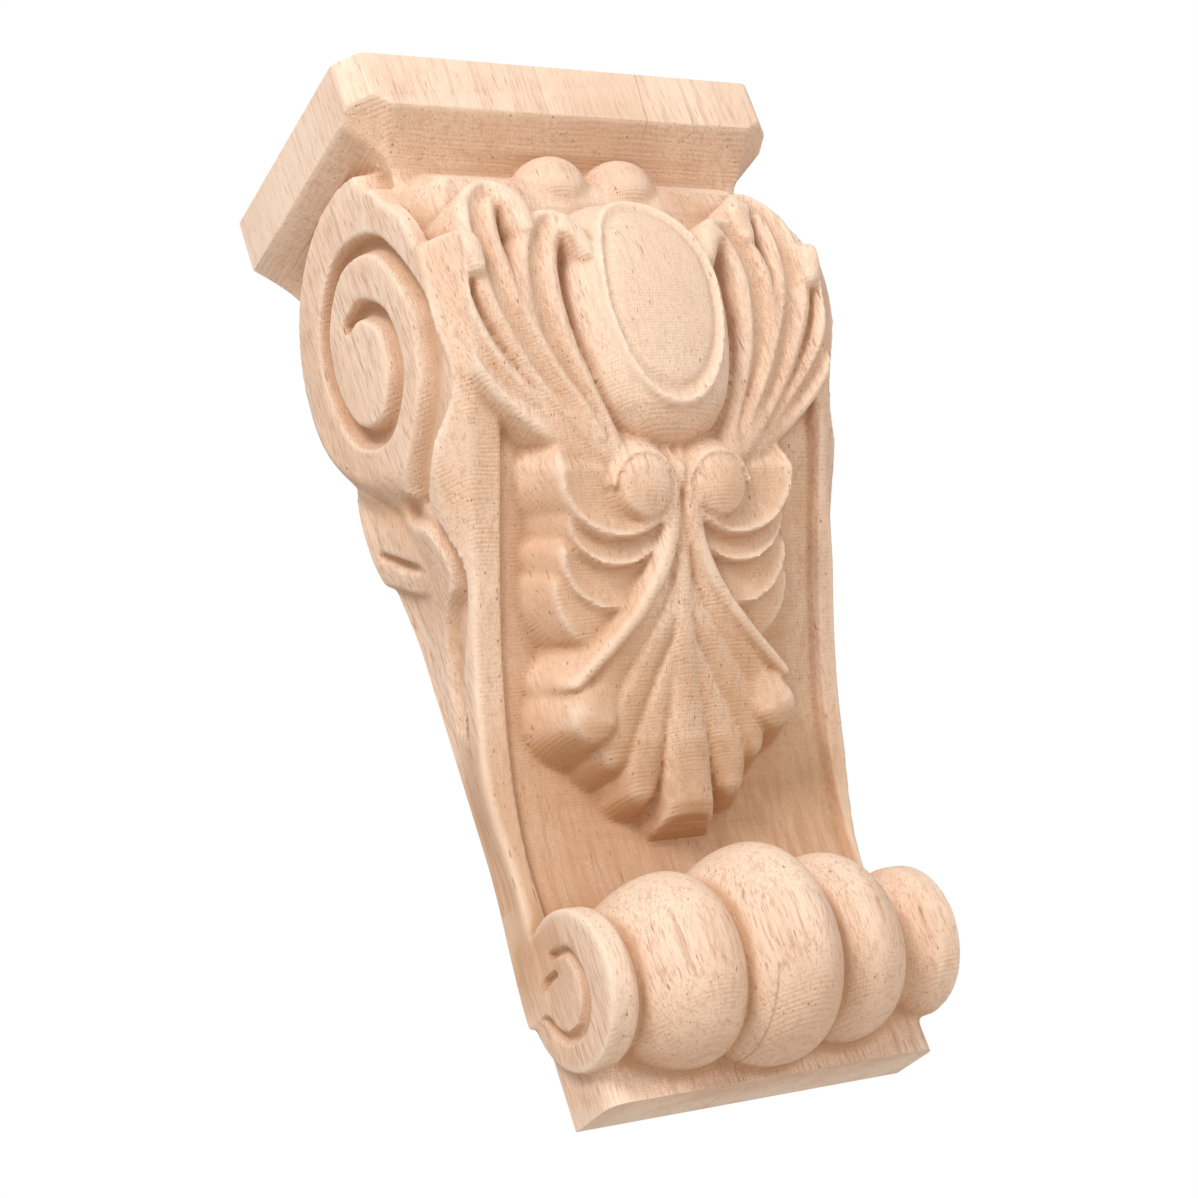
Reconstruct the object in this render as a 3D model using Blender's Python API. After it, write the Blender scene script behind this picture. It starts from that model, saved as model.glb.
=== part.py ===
"""Carved wooden corbel, cut from one glued block of pale hardwood.

X runs across the width, the carved front faces -Y and the flat back lies on y = 0.
The origin is on the back face, where the wall carries the bracket. The shape is
described in millimetres: "height" is measured up from the underside of the foot,
"depth" forward from the wall, and "run" along the front border, up from the roll.
The block is described as one field, negative inside the wood. A grid of that field
is skinned, its flat faces are sawn off true, and the skin is thinned.
"""

import bmesh
import bpy
import numpy as np

MM = 0.001

# Block
HEIGHT = 200.0
MOUNT_HEIGHT = 110.0

# Cap: a slab with clipped front corners over a cove
CAP_WIDTH = 100.0
CAP_DEPTH = 55.0
FASCIA_HEIGHT = 12.0
COVE_HEIGHT = 10.0
COVE_REACH = 9.5
COVE_BEND = 1.6
CORNER_CLIP = 4.5
CORNER_RISE = 2.0

# Side profile of the body: a round scroll that flows into a hollow sweep
SCROLL_RADIUS = 29.5
SCROLL_HEIGHT = 154.0
SCROLL_LEAVE = 20.0
SWEEP_FOOT_HEIGHT = 44.0
SWEEP_FOOT_DEPTH = 8.2
SWEEP_UPPER_PULL = 24.0
SWEEP_LOWER_PULL = 37.0

# Widths of the body
SCROLL_WIDTH = 94.0
FACET_WIDTH = 5.6
FACET_DEPTH = 4.6
BORDER_WIDTH = 85.0
BORDER_SHIFT = 1.8
BACK_WIDTH = 80.0
BORDER_STRIP = 5.4
PANEL_SHIFT = 2.6
FIELD_SINK = 1.6
LEAF_GROUND_SINK = 4.2
GROOVE_DEPTH = 3.2
GROUND_SINK = 2.4

# Roll across the bottom, three melon ribs between two end discs
ROLL_WIDTH = 79.0
ROLL_HEIGHT = 21.2
ROLL_BACK_GAP = 0.6
MAIN_RIB_RADIUS = 20.6
SIDE_RIB_RADIUS = 18.0
RIB_PITCH = 17.5
RIB_SWELL = 3.1
RIB_SHOULDER = 9.6
RIB_SHIFT = -1.6
NECK_RADIUS = 12.4
DISC_RADIUS = 14.7
DISC_THICKNESS = 5.0
DISC_FLARE = 4.6
ROLL_GROOVE_DEPTH = 1.4

# Foot block under the roll
FOOT_WIDTH = 74.0
FOOT_DEPTH = 14.0
FOOT_HEIGHT = 25.2
FOOT_CLIP = 2.0

# Front carving, as (place across, run) with half widths and reaches
EGG_RUN = 108.2
EGG_HALF_WIDTH = 18.6
EGG_HALF_LENGTH = 30.8
EGG_FULLNESS = 2.25
CABOCHON_RUN = 111.6
CABOCHON_HALF_WIDTH = 13.0
CABOCHON_HALF_LENGTH = 20.2
CABOCHON_RIM = 1.1
CABOCHON_LIFT = 0.3
CABOCHON_DOME = 1.2
RIM_WIDTH = 0.7
RIM_STEP = 0.6
EYE_PLACE = 8.6
EYE_RUN = 75.2
EYE_RADIUS = 6.2
EYE_BAND = 0.9
EYE_GROOVE = 0.9
CURL_PLACE = 8.1
CURL_HEIGHT = 174.0
CURL_DEPTH = 47.3
CURL_SIZE = (8.0, 7.8, 7.2)
SHOULDER_FALL = 5.4

# Skin
GRID = 1.5
SAW_MARGIN = 2.0
ARRIS = 1.2
KEEP_SHARE = 0.13
WOOD_COLOUR = (0.80, 0.56, 0.38, 1.0)

# How far the crown of the carving stands off the border, as (run, reach)
CROWN = (
    (0.0, 1.0), (8.0, 5.0), (12.0, 7.0), (25.0, 9.4), (50.0, 11.6), (62.0, 11.4), (78.0, 10.2),
    (91.0, 9.8), (100.0, 7.4), (110.0, 5.0), (122.0, 3.6), (134.0, 2.6), (152.0, 1.5),
)

# Leaf ribbons from the curled tip down to the eye: (place across, run, half width, reach)
LEAF_RIBBONS = (
    ((13.8, 119.5, 1.8, 2.6), (16.5, 124.5, 2.4, 3.0), (21.0, 125.5, 3.4, 2.4),
     (24.6, 119.0, 4.4, 1.2), (25.2, 110.0, 4.8, 1.4), (23.6, 101.5, 4.6, 3.0),
     (20.4, 94.0, 4.0, 4.8), (16.8, 87.0, 3.2, 6.6), (13.6, 81.5, 2.6, 8.2)),
    ((25.6, 125.0, 1.9, 2.4), (26.2, 130.5, 2.5, 3.0), (30.0, 134.0, 3.2, 2.8),
     (34.0, 130.0, 3.8, 1.6), (35.2, 121.5, 4.2, 0.6), (33.8, 112.0, 4.4, 1.2),
     (30.6, 104.0, 4.2, 2.4), (26.2, 96.0, 3.6, 4.2), (20.6, 88.5, 3.0, 6.4),
     (15.6, 82.0, 2.4, 7.8)),
    ((38.6, 116.5, 1.9, 2.2), (40.0, 120.5, 2.6, 2.8), (43.0, 118.5, 3.0, 2.2),
     (43.4, 111.0, 3.0, 1.6), (41.0, 103.0, 3.4, 2.2), (36.2, 96.0, 3.4, 3.2),
     (29.6, 89.5, 3.0, 4.4), (22.6, 84.0, 2.6, 5.8), (16.0, 79.0, 2.2, 7.2)),
)

# Scooped lobes below the eye: (place across, run, half width, half length, drop, scoop)
LOBES = (
    (13.4, 78.0, 13.2, 11.8, 0.5, 2.1), (14.0, 69.6, 10.6, 9.0, 1.7, 1.9),
    (14.6, 62.6, 11.0, 10.6, 2.5, 1.7), (14.4, 56.5, 12.4, 13.0, 4.2, 0.0),
)

# Fingers of the fan, and the band along its edge: (place across, run, half width, drop)
FAN_FINGERS = (
    ((0.0, 72.0, 1.4, 1.4), (0.0, 60.0, 1.8, 0.8), (0.0, 50.0, 2.4, 0.6), (0.0, 38.0, 3.4, 0.4),
     (0.0, 26.0, 4.6, 0.1), (0.0, 17.0, 5.2, 0.0), (0.0, 10.0, 5.4, 0.0)),
    ((0.4, 50.0, 1.4, 2.0), (2.6, 42.0, 2.2, 1.1), (5.4, 34.5, 3.0, 0.9), (8.2, 27.0, 3.8, 0.7),
     (9.8, 20.6, 3.9, 0.7), (10.2, 16.4, 3.1, 0.9)),
    ((0.6, 59.0, 1.4, 2.0), (3.6, 50.0, 2.2, 1.1), (7.6, 42.5, 3.1, 0.9), (11.4, 35.0, 3.7, 0.8),
     (14.4, 28.0, 4.0, 0.9), (15.4, 23.6, 3.3, 1.2)),
    ((1.6, 66.0, 1.4, 1.8), (4.6, 57.5, 2.0, 1.2), (8.8, 50.0, 2.9, 1.1), (13.4, 43.0, 3.5, 1.2),
     (17.2, 36.5, 3.8, 1.2), (19.8, 32.6, 4.6, 0.0), (20.8, 30.8, 4.8, -0.5)),
)
FAN_FOOT_RUN = 6.6
FAN_BAND = (
    (2.4, 75.0, 1.5, 0.4), (2.8, 67.0, 1.5, 0.1), (5.4, 59.5, 1.4, 0.0), (9.8, 52.5, 1.3, 0.0),
    (15.2, 46.2, 1.2, 0.2), (20.2, 41.2, 1.2, 0.6), (23.8, 37.6, 1.2, 1.0),
)

# Side scroll groove: (turn in degrees from the front, radius, half width)
SCROLL_EYE = (26.5, 147.5)
SCROLL_GROOVE = (
    (-88.0, 30.0, 4.6), (-50.0, 24.4, 4.4), (-20.0, 22.4, 3.8), (0.0, 22.0, 3.0),
    (50.0, 22.4, 2.2), (90.0, 23.0, 2.3), (128.0, 20.0, 2.4), (170.0, 15.8, 2.3),
    (220.0, 14.8, 2.4), (265.0, 14.0, 3.0), (310.0, 11.0, 3.6), (355.0, 9.0, 3.4),
    (395.0, 9.4, 2.6), (440.0, 11.0, 2.2), (470.0, 11.6, 1.6),
)
ROLL_EYE = (14.6, 21.2)
ROLL_GROOVE = (
    (100.0, 7.6, 0.8), (60.0, 7.4, 1.0), (15.0, 6.4, 1.3), (-30.0, 6.4, 1.6), (-80.0, 7.4, 1.6),
    (-130.0, 8.4, 1.3), (-175.0, 8.8, 1.0), (-215.0, 7.0, 0.9), (-250.0, 4.4, 0.8),
)

# Side panel under the scroll, as (depth, height, half width, level)
SIDE_GROUND = (
    (20.0, 118.5, 3.6, 1.0), (26.0, 113.0, 3.2, 1.0), (27.0, 105.0, 2.0, 1.0), (24.0, 98.0, 2.4, 1.0),
    (17.5, 94.0, 5.0, 1.0), (11.5, 87.0, 4.6, 1.0), (7.0, 79.0, 2.6, 0.6),
)
SIDE_LEAF = (
    (0.0, 124.0, 9.0, 3.0), (8.0, 116.0, 7.0, 3.2), (14.0, 110.0, 6.0, 3.2), (19.0, 104.6, 3.2, 2.8),
)
LEAF_SLOT = ((3.5, 117.5, 1.1, 1.0), (9.0, 112.6, 1.4, 1.2), (14.0, 108.4, 1.2, 1.0))
EDGE_SLOT = ((15.0, 86.5, 1.2, 2.0), (12.0, 80.5, 1.5, 2.6), (9.2, 75.0, 1.1, 1.6))


def smooth_max(first, second, radius):
    """Larger of two fields, with the corner between them rounded."""
    share = np.clip(0.5 + 0.5 * (first - second) / radius, 0.0, 1.0)
    return second + (first - second) * share + radius * share * (1.0 - share)


def smooth_min(first, second, radius):
    """Smaller of two fields, with the corner between them filled."""
    return -smooth_max(-first, -second, radius)


def smooth_step(value, start, end):
    """Rise from 0 at start to 1 at end."""
    share = np.clip((value - start) / (end - start), 0.0, 1.0)
    return share * share * (3.0 - 2.0 * share)


def spline(rows, steps=12):
    """Smooth curve through rows of numbers, with its ends held."""
    rows = np.array(rows, float)
    rows = np.vstack([2.0 * rows[0] - rows[1], rows, 2.0 * rows[-1] - rows[-2]])
    share = np.linspace(0.0, 1.0, steps, endpoint=False)[:, None]
    spans = []
    for a, b, c, d in zip(rows, rows[1:], rows[2:], rows[3:]):
        spans.append(0.5 * (2.0 * b + (c - a) * share
                            + (2.0 * a - 5.0 * b + 4.0 * c - d) * share ** 2
                            + (3.0 * b - a - 3.0 * c + d) * share ** 3))
    return np.vstack(spans + [rows[-2:-1]])


def along(path, across, up):
    """Nearest point of a path, as (distance over half width, half width, level)."""
    nearest = np.full(across.shape, np.inf)
    half_width = np.ones(across.shape)
    level = np.zeros(across.shape)
    for x, y, width, value in spline(path):
        reach = np.hypot(across - x, up - y) / width
        closer = reach < nearest
        nearest = np.where(closer, reach, nearest)
        half_width = np.where(closer, width, half_width)
        level = np.where(closer, value, level)
    return nearest, half_width, level


def front_profile():
    """Depth, height and run of the front border, from the roll up to the cap."""
    leave = np.radians(SCROLL_LEAVE)
    start = np.array([SCROLL_RADIUS * (1.0 + np.cos(leave)),
                      SCROLL_HEIGHT - SCROLL_RADIUS * np.sin(leave)])
    foot = np.array([SWEEP_FOOT_DEPTH, SWEEP_FOOT_HEIGHT])
    pull = start - SWEEP_UPPER_PULL * np.array([np.sin(leave), np.cos(leave)])
    lift = foot + np.array([0.0, SWEEP_LOWER_PULL])
    t = np.linspace(0.0, 1.0, 130)[:, None]
    sweep = ((1 - t) ** 3 * foot + 3 * (1 - t) ** 2 * t * lift
             + 3 * (1 - t) * t ** 2 * pull + t ** 3 * start)
    neck_depth = CAP_DEPTH - COVE_REACH
    top = np.arccos(neck_depth / SCROLL_RADIUS - 1.0)
    turn = np.linspace(-leave, top, 100)[1:]
    scroll = np.stack([SCROLL_RADIUS * (1.0 + np.cos(turn)),
                       SCROLL_HEIGHT + SCROLL_RADIUS * np.sin(turn)], 1)
    neck = np.array([[neck_depth, h] for h in np.linspace(scroll[-1, 1] + 0.5, HEIGHT + 6.0, 40)])
    stem = np.array([[SWEEP_FOOT_DEPTH, h] for h in np.linspace(-6.0, SWEEP_FOOT_HEIGHT - 0.5, 60)])
    curve = np.vstack([stem, sweep, scroll, neck])
    run = np.concatenate([[0.0], np.cumsum(np.hypot(*np.diff(curve, axis=0).T))])
    return curve, run - run[len(stem)]


def against_front(depth, height):
    """Distance in front of the border, and the run of the nearest point on it."""
    curve, run = front_profile()
    tangent = np.gradient(curve, run, axis=0)
    tangent /= np.linalg.norm(tangent, axis=1)[:, None]
    near = np.full(depth.shape, np.inf)
    index = np.zeros(depth.shape, int)
    for i, (d, h) in enumerate(curve):
        gap = (depth - d) ** 2 + (height - h) ** 2
        closer = gap < near
        near = np.where(closer, gap, near)
        index = np.where(closer, i, index)
    off_depth = depth - curve[index, 0]
    off_height = height - curve[index, 1]
    t = tangent[index]
    ahead = off_depth * t[..., 1] - off_height * t[..., 0]
    return ahead, run[index] + off_depth * t[..., 0] + off_height * t[..., 1]


def crown(run):
    """Reach of the carving's crown off the border."""
    return np.interp(run, *np.array(CROWN).T)


def front_field(place, run):
    """Sunk panel inside the raised border strips, and the fallen front corner."""
    edge = BORDER_WIDTH / 2.0 - BORDER_STRIP + 6.0 * smooth_step(run, 92.0, 104.0)
    low = 1.0 - smooth_step(run, 84.0, 104.0)
    across = np.abs(place - PANEL_SHIFT * low)
    sink = FIELD_SINK + (LEAF_GROUND_SINK - FIELD_SINK) * smooth_step(run, 78.0, 100.0)
    sink = sink * (1.0 - smooth_step(run, 134.0, 146.0))
    panel = -sink * (1.0 - smooth_step(across, edge - 1.0, edge + 0.3))
    line = -0.7 * np.exp(-((across - edge + 0.6) / 0.6) ** 2) * (1.0 - smooth_step(run, 80.0, 100.0))
    shoulder = smooth_step(np.abs(place), 33.0, 42.0) * smooth_step(run, 112.0, 122.0)
    shoulder = shoulder * (1.0 - 0.7 * smooth_step(run, 144.0, 158.0))
    return panel + line - SHOULDER_FALL * shoulder


def egg(across, run):
    """Oval cabochon in a raised ring, set in a larger egg."""
    inner = np.hypot(across / CABOCHON_HALF_WIDTH, (run - CABOCHON_RUN) / CABOCHON_HALF_LENGTH)
    outer = ((across / EGG_HALF_WIDTH) ** EGG_FULLNESS
             + (np.abs(run - EGG_RUN) / EGG_HALF_LENGTH) ** EGG_FULLNESS) ** (1.0 / EGG_FULLNESS)
    face = crown(run) + CABOCHON_LIFT - CABOCHON_DOME * np.minimum(inner, 1.0) ** 2
    share = np.clip((outer - 0.5) / 0.5, 0.0, 1.0)
    flank = (crown(run) + LEAF_GROUND_SINK) * (1.0 - np.sqrt(1.0 - share ** 2.4))
    beyond = 40.0 * np.maximum(outer - 1.0, 0.0)
    off_rim = (inner - 1.0) * CABOCHON_HALF_WIDTH
    rim = np.exp(-(off_rim / RIM_WIDTH) ** 2) - 0.45 * np.exp(-((off_rim + 1.5) / RIM_WIDTH) ** 2)
    return face - flank - beyond + CABOCHON_RIM * rim - RIM_STEP * smooth_step(off_rim, 0.3, 1.5)


def eye(across, run):
    """Round boss in a rolled band that opens towards the lobes below it."""
    radius = np.hypot(across - EYE_PLACE, run - EYE_RUN)
    turn = np.degrees(np.arctan2(run - EYE_RUN, EYE_PLACE - across))
    closed = smooth_step(turn, -115.0, -75.0)
    off_boss = radius - EYE_RADIUS
    boss = crown(run) + 1.2 - 1.3 * (np.minimum(radius, EYE_RADIUS) / EYE_RADIUS) ** 2
    groove = EYE_GROOVE * np.exp(-(off_boss / 0.55) ** 2)
    open_side = 1.6 * (1.0 - closed) * smooth_step(off_boss, -1.0, 1.0)
    wall = 2.2 * np.maximum(off_boss - EYE_BAND, 0.0)
    return boss - groove - open_side - wall


def lobes(across, run):
    """Scooped lobes over a plain one, each with its rim standing over the next."""
    relief = np.full(across.shape, -20.0)
    for place, at, half_width, half_length, drop, hollow in LOBES:
        reach = np.hypot((across - place) / half_width, (run - at) / half_length)
        rim = crown(run) - drop - 0.9 * np.maximum(run - at - 1.0, 0.0)
        scoop = hollow * (1.0 - np.minimum(reach, 1.0) ** 4)
        wall = 2.3 * half_width * np.maximum(reach - 1.0, 0.0)
        fall = 2.6 * np.maximum(across / (place + half_width) - 0.72, 0.0)
        relief = np.maximum(relief, rim - scoop - wall - fall)
    return relief


def ribbon(path, across, run, sag, wall, from_crown=False, flute=0.0):
    """Band along a path: its level at the middle, its sag at the edge, then a wall."""
    gap, half_width, level = along(path, across, run)
    top = crown(run) - level if from_crown else level
    channel = flute * (1.0 - smooth_step(gap, 0.15, 0.62)) * smooth_step(half_width, 2.6, 3.4)
    edge = sag * np.minimum(gap, 1.0) ** 3
    return top - channel - edge - wall * half_width * np.maximum(gap - 1.0, 0.0)


def front_relief(place, run):
    """Reach of the carved front beyond the border, over the whole front."""
    across = np.abs(place)
    relief = smooth_max(front_field(place, run), egg(across, run), 0.6)
    for path in LEAF_RIBBONS:
        relief = np.maximum(relief, ribbon(path, across, run, 1.0, 2.2, flute=1.5))
    relief = smooth_max(relief, lobes(across, run), 0.5)
    blunt = 2.4 * (run - FAN_FOOT_RUN) - FIELD_SINK
    for path in FAN_FINGERS:
        relief = np.maximum(relief, np.minimum(ribbon(path, across, run, 1.1, 2.2, True), blunt))
    relief = np.maximum(relief, ribbon(FAN_BAND, across, run, 0.3, 2.4, True))
    return smooth_max(relief, eye(across, run), 0.4)


def polar_path(centre, rows):
    """Path rows (depth, height, half width, 1) from turns and radii about a centre."""
    path = []
    for turn, radius, half_width in rows:
        angle = np.radians(turn)
        path.append((centre[0] + radius * np.cos(angle), centre[1] + radius * np.sin(angle),
                     half_width, 1.0))
    return path


def cut(path, depth, height, edge=0.4):
    """Depth share of a groove along a path, 1 in its bed and 0 outside."""
    gap, _, level = along(path, depth, height)
    return level * (1.0 - smooth_step(gap, edge, 1.0))


def side_half_width(depth, height):
    """Half width of the body at each place of its side."""
    curve, _ = front_profile()
    front = np.interp(height, curve[:, 1], curve[:, 0])
    back = BACK_WIDTH / 2.0
    narrow = smooth_step(height, SWEEP_FOOT_HEIGHT - 2.0, SWEEP_FOOT_HEIGHT + 24.0)
    border = back + (BORDER_WIDTH / 2.0 - back) * narrow
    facet = FACET_WIDTH * np.clip(1.0 - (front - depth) / FACET_DEPTH, 0.0, 1.0)
    flare = (SCROLL_WIDTH - BORDER_WIDTH) / 2.0 - facet
    border = border + flare * smooth_step(height, 92.0, 122.0)
    share = smooth_step(depth / front, 0.0, 0.85)
    width = back + (border - back) * share
    inside = smooth_step(front - depth, 2.0, 4.0)
    width = width - GROUND_SINK * inside * cut(SIDE_GROUND, depth, height)
    gap, half_width, level = along(SIDE_LEAF, depth, height)
    leaf = back + level - 1.0 * np.minimum(gap, 1.0) ** 2
    leaf = leaf - 2.2 * half_width * np.maximum(gap - 1.0, 0.0)
    width = np.maximum(width, leaf - 1.6 * cut(LEAF_SLOT, depth, height))
    width = width - 1.8 * inside * cut(EDGE_SLOT, depth, height)
    off_scroll = np.hypot(depth - SCROLL_RADIUS, height - SCROLL_HEIGHT) - SCROLL_RADIUS
    below = smooth_step(height, SCROLL_HEIGHT + 4.0, SCROLL_HEIGHT - 12.0)
    disc = 1.0 - smooth_step(off_scroll, -0.4, 0.8 + 7.0 * below)
    neck = CAP_WIDTH / 2.0 - COVE_REACH
    above = smooth_step(height, SCROLL_HEIGHT - 4.0, SCROLL_HEIGHT + 4.0)
    width = width + (neck - width) * above
    face = SCROLL_WIDTH / 2.0 - facet
    width = width + (face - width) * disc
    return width - GROOVE_DEPTH * cut(polar_path(SCROLL_EYE, SCROLL_GROOVE), depth, height)


def body(across, depth, height):
    """Console body between the cap and the roll."""
    ahead, run = against_front(depth[0], height[0])
    width = side_half_width(depth[0], height[0])
    places = across[:, 0, 0]
    runs = np.arange(run.min() - 1.0, run.max() + 1.0, 0.5)
    relief = front_relief(*np.meshgrid(places, runs, indexing="ij"))
    shift = BORDER_SHIFT * (1.0 - smooth_step(height[0], SCROLL_HEIGHT - 58.0, SCROLL_HEIGHT - 34.0))
    shift = shift * smooth_step(height[0], ROLL_HEIGHT, SWEEP_FOOT_HEIGHT + 10.0)
    result = np.empty(across.shape)
    for i, place in enumerate(places):
        front = ahead - np.interp(run, runs, relief[i])
        side = np.abs(place - shift) - width
        result[i] = smooth_max(front, side, ARRIS)
    return np.maximum(result, np.maximum(height - HEIGHT + 1.0, SWEEP_FOOT_HEIGHT - 24.0 - height))


def clipped_slab(across, depth, half_width, front, clip, radius):
    """Plan of a slab against the wall, with its two front corners clipped."""
    sides = smooth_max(across - half_width, depth - front, radius)
    corner = (across + depth - half_width - front + clip) / np.sqrt(2.0)
    return smooth_max(sides, corner, radius)


def cap(across, depth, height):
    """Cap slab with the cove under it."""
    half_width = CAP_WIDTH / 2.0
    under = HEIGHT - FASCIA_HEIGHT
    rise = np.clip((height - under + COVE_HEIGHT) / COVE_HEIGHT, 0.0, 1.0)
    reach = COVE_REACH * (1.0 - rise ** COVE_BEND)
    late = np.clip((height - under + COVE_HEIGHT) / (COVE_HEIGHT + CORNER_RISE), 0.0, 1.0)
    corner_reach = COVE_REACH * (1.0 - late ** COVE_BEND)
    sides = smooth_max(across - half_width + reach, depth - CAP_DEPTH + reach, 0.6)
    corner = (across + depth - half_width - CAP_DEPTH + CORNER_CLIP) / np.sqrt(2.0) + corner_reach
    plan = smooth_max(sides, corner, 0.6)
    return smooth_max(plan, under - COVE_HEIGHT - 6.0 - height, 1.0)


def roll_radius(across):
    """Radius of the roll at each place across the width."""
    ribs = np.abs(across - RIB_SHIFT)
    main = MAIN_RIB_RADIUS - RIB_SWELL * (ribs / (RIB_PITCH / 2.0)) ** 2
    beyond = ribs - RIB_PITCH
    reach = np.where(beyond > 0.0, RIB_SHOULDER, RIB_PITCH / 2.0)
    side = SIDE_RIB_RADIUS - RIB_SWELL * (beyond / reach) ** 2
    start = ROLL_WIDTH / 2.0 - DISC_THICKNESS
    disc = NECK_RADIUS + (DISC_RADIUS - NECK_RADIUS) * smooth_step(
        np.abs(across), start - DISC_FLARE, start + 1.0)
    return np.maximum(np.maximum(main, side), disc)


def roll(across, depth, height):
    """Roll with melon ribs and end discs, its back just clear of the wall."""
    radius = roll_radius(across)
    around = np.hypot(depth - radius - ROLL_BACK_GAP, height - ROLL_HEIGHT) - radius
    groove = cut(polar_path(ROLL_EYE, ROLL_GROOVE), depth[0], height[0])[None]
    end = np.abs(across) - ROLL_WIDTH / 2.0 + ROLL_GROOVE_DEPTH * groove
    return smooth_max(around, end, 1.0)


def foot(across, depth, height):
    """Foot block behind and below the roll."""
    plan = clipped_slab(across, depth, FOOT_WIDTH / 2.0, FOOT_DEPTH, FOOT_CLIP, 0.8)
    return np.maximum(plan, height - FOOT_HEIGHT)


def curls(across, depth, height):
    """Pair of small scroll knobs under the cove."""
    gap = np.sqrt(((across - CURL_PLACE) / CURL_SIZE[0]) ** 2
                  + ((depth - CURL_DEPTH) / CURL_SIZE[1]) ** 2
                  + ((height - CURL_HEIGHT) / CURL_SIZE[2]) ** 2)
    return (gap - 1.0) * min(CURL_SIZE)


def wood(across, depth, height):
    """The whole block as one field, with its back, top and underside left long."""
    result = smooth_min(body(across, depth, height), roll(across, depth, height), 1.2)
    result = smooth_min(result, foot(np.abs(across), depth, height), 1.2)
    result = smooth_min(result, cap(np.abs(across), depth, height), 0.8)
    result = smooth_min(result, curls(np.abs(across), depth, height), 0.8)
    beyond = np.maximum(-SAW_MARGIN - depth, np.maximum(height - HEIGHT, -height) - SAW_MARGIN)
    return np.maximum(result, beyond)


def settle(field):
    """Fill every grid square and cell where the wood would touch itself at a point."""
    for _ in range(20):
        inside = field < 0.0
        pinched = np.zeros(field.shape, bool)
        for axis in range(3):
            plane = np.moveaxis(inside, axis, 0)
            mark = np.moveaxis(pinched, axis, 0)
            near, far = plane[:, :-1, :-1], plane[:, 1:, 1:]
            left, right = plane[:, 1:, :-1], plane[:, :-1, 1:]
            crossed = (near & far & ~left & ~right) | (left & right & ~near & ~far)
            mark[:, :-1, :-1] |= crossed
            mark[:, 1:, 1:] |= crossed
            mark[:, 1:, :-1] |= crossed
            mark[:, :-1, 1:] |= crossed
        corners = [(i, j, k) for i in (0, 1) for j in (0, 1) for k in (0, 1)]
        ends = [tuple(slice(c, n - 1 + c) for c, n in zip(corner, field.shape)) for corner in corners]
        total = sum(inside[end].astype(int) for end in ends)
        for first, second in zip(ends[:4], ends[:3:-1]):
            alone = (total == 2) & inside[first] & inside[second]
            alone |= (total == 6) & ~inside[first] & ~inside[second]
            for end in ends:
                pinched[end] |= alone
        pinched &= ~inside
        if not pinched.any():
            break
        field[pinched] = -GRID / 4.0
    return field


def skin(field, axes):
    """Quads around the zero level of a field: one vertex for each cell it crosses."""
    inside = field < 0.0
    cells = tuple(n - 1 for n in field.shape)
    total = np.zeros(cells + (3,))
    count = np.zeros(cells)
    crossings = []
    for axis in range(3):
        low = [slice(None)] * 3
        high = [slice(None)] * 3
        low[axis] = slice(None, -1)
        high[axis] = slice(1, None)
        low, high = tuple(low), tuple(high)
        crossed = inside[low] != inside[high]
        at = np.argwhere(crossed)
        first = field[low][crossed]
        share = first / (first - field[high][crossed])
        point = np.stack([axes[k][at[:, k]] for k in range(3)], 1)
        point[:, axis] += share * (axes[axis][1] - axes[axis][0])
        others = [k for k in range(3) if k != axis]
        for shift in ((0, 0), (1, 0), (1, 1), (0, 1)):
            cell = at.copy()
            cell[:, others[0]] -= shift[0]
            cell[:, others[1]] -= shift[1]
            np.add.at(total, tuple(cell.T), point)
            np.add.at(count, tuple(cell.T), 1.0)
        crossings.append((axis, others, at, inside[low][crossed]))
    used = count > 0
    index = np.full(cells, -1)
    index[used] = np.arange(used.sum())
    vertices = total[used] / count[used][:, None]
    faces = []
    for axis, others, at, starts_inside in crossings:
        ring = []
        for shift in ((0, 0), (1, 0), (1, 1), (0, 1)):
            cell = at.copy()
            cell[:, others[0]] -= shift[0]
            cell[:, others[1]] -= shift[1]
            ring.append(index[tuple(cell.T)])
        quad = np.stack(ring, 1)
        turned = starts_inside if axis == 1 else ~starts_inside
        quad[turned] = quad[turned][:, ::-1]
        faces.append(quad)
    return vertices, np.vstack(faces)


def saw(mesh, place, normal):
    """Cut a face off true and close it."""
    geometry = mesh.verts[:] + mesh.edges[:] + mesh.faces[:]
    bmesh.ops.bisect_plane(mesh, geom=geometry, plane_co=place, plane_no=normal, dist=1e-7,
                           clear_outer=True)
    rim = [edge for edge in mesh.edges if edge.is_boundary]
    bmesh.ops.holes_fill(mesh, edges=rim, sides=0)


def keep_block(sculpt):
    """Delete the pockets of a cell or two that the grid leaves in deep carving."""
    left = set(sculpt.verts)
    bodies = []
    while left:
        reached = {left.pop()}
        edge = set(reached)
        while edge:
            edge = {link.other_vert(vert) for vert in edge for link in vert.link_edges} - reached
            reached |= edge
        left -= reached
        bodies.append(reached)
    bodies.sort(key=len)
    bmesh.ops.delete(sculpt, geom=[vert for body_verts in bodies[:-1] for vert in body_verts])


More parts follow.
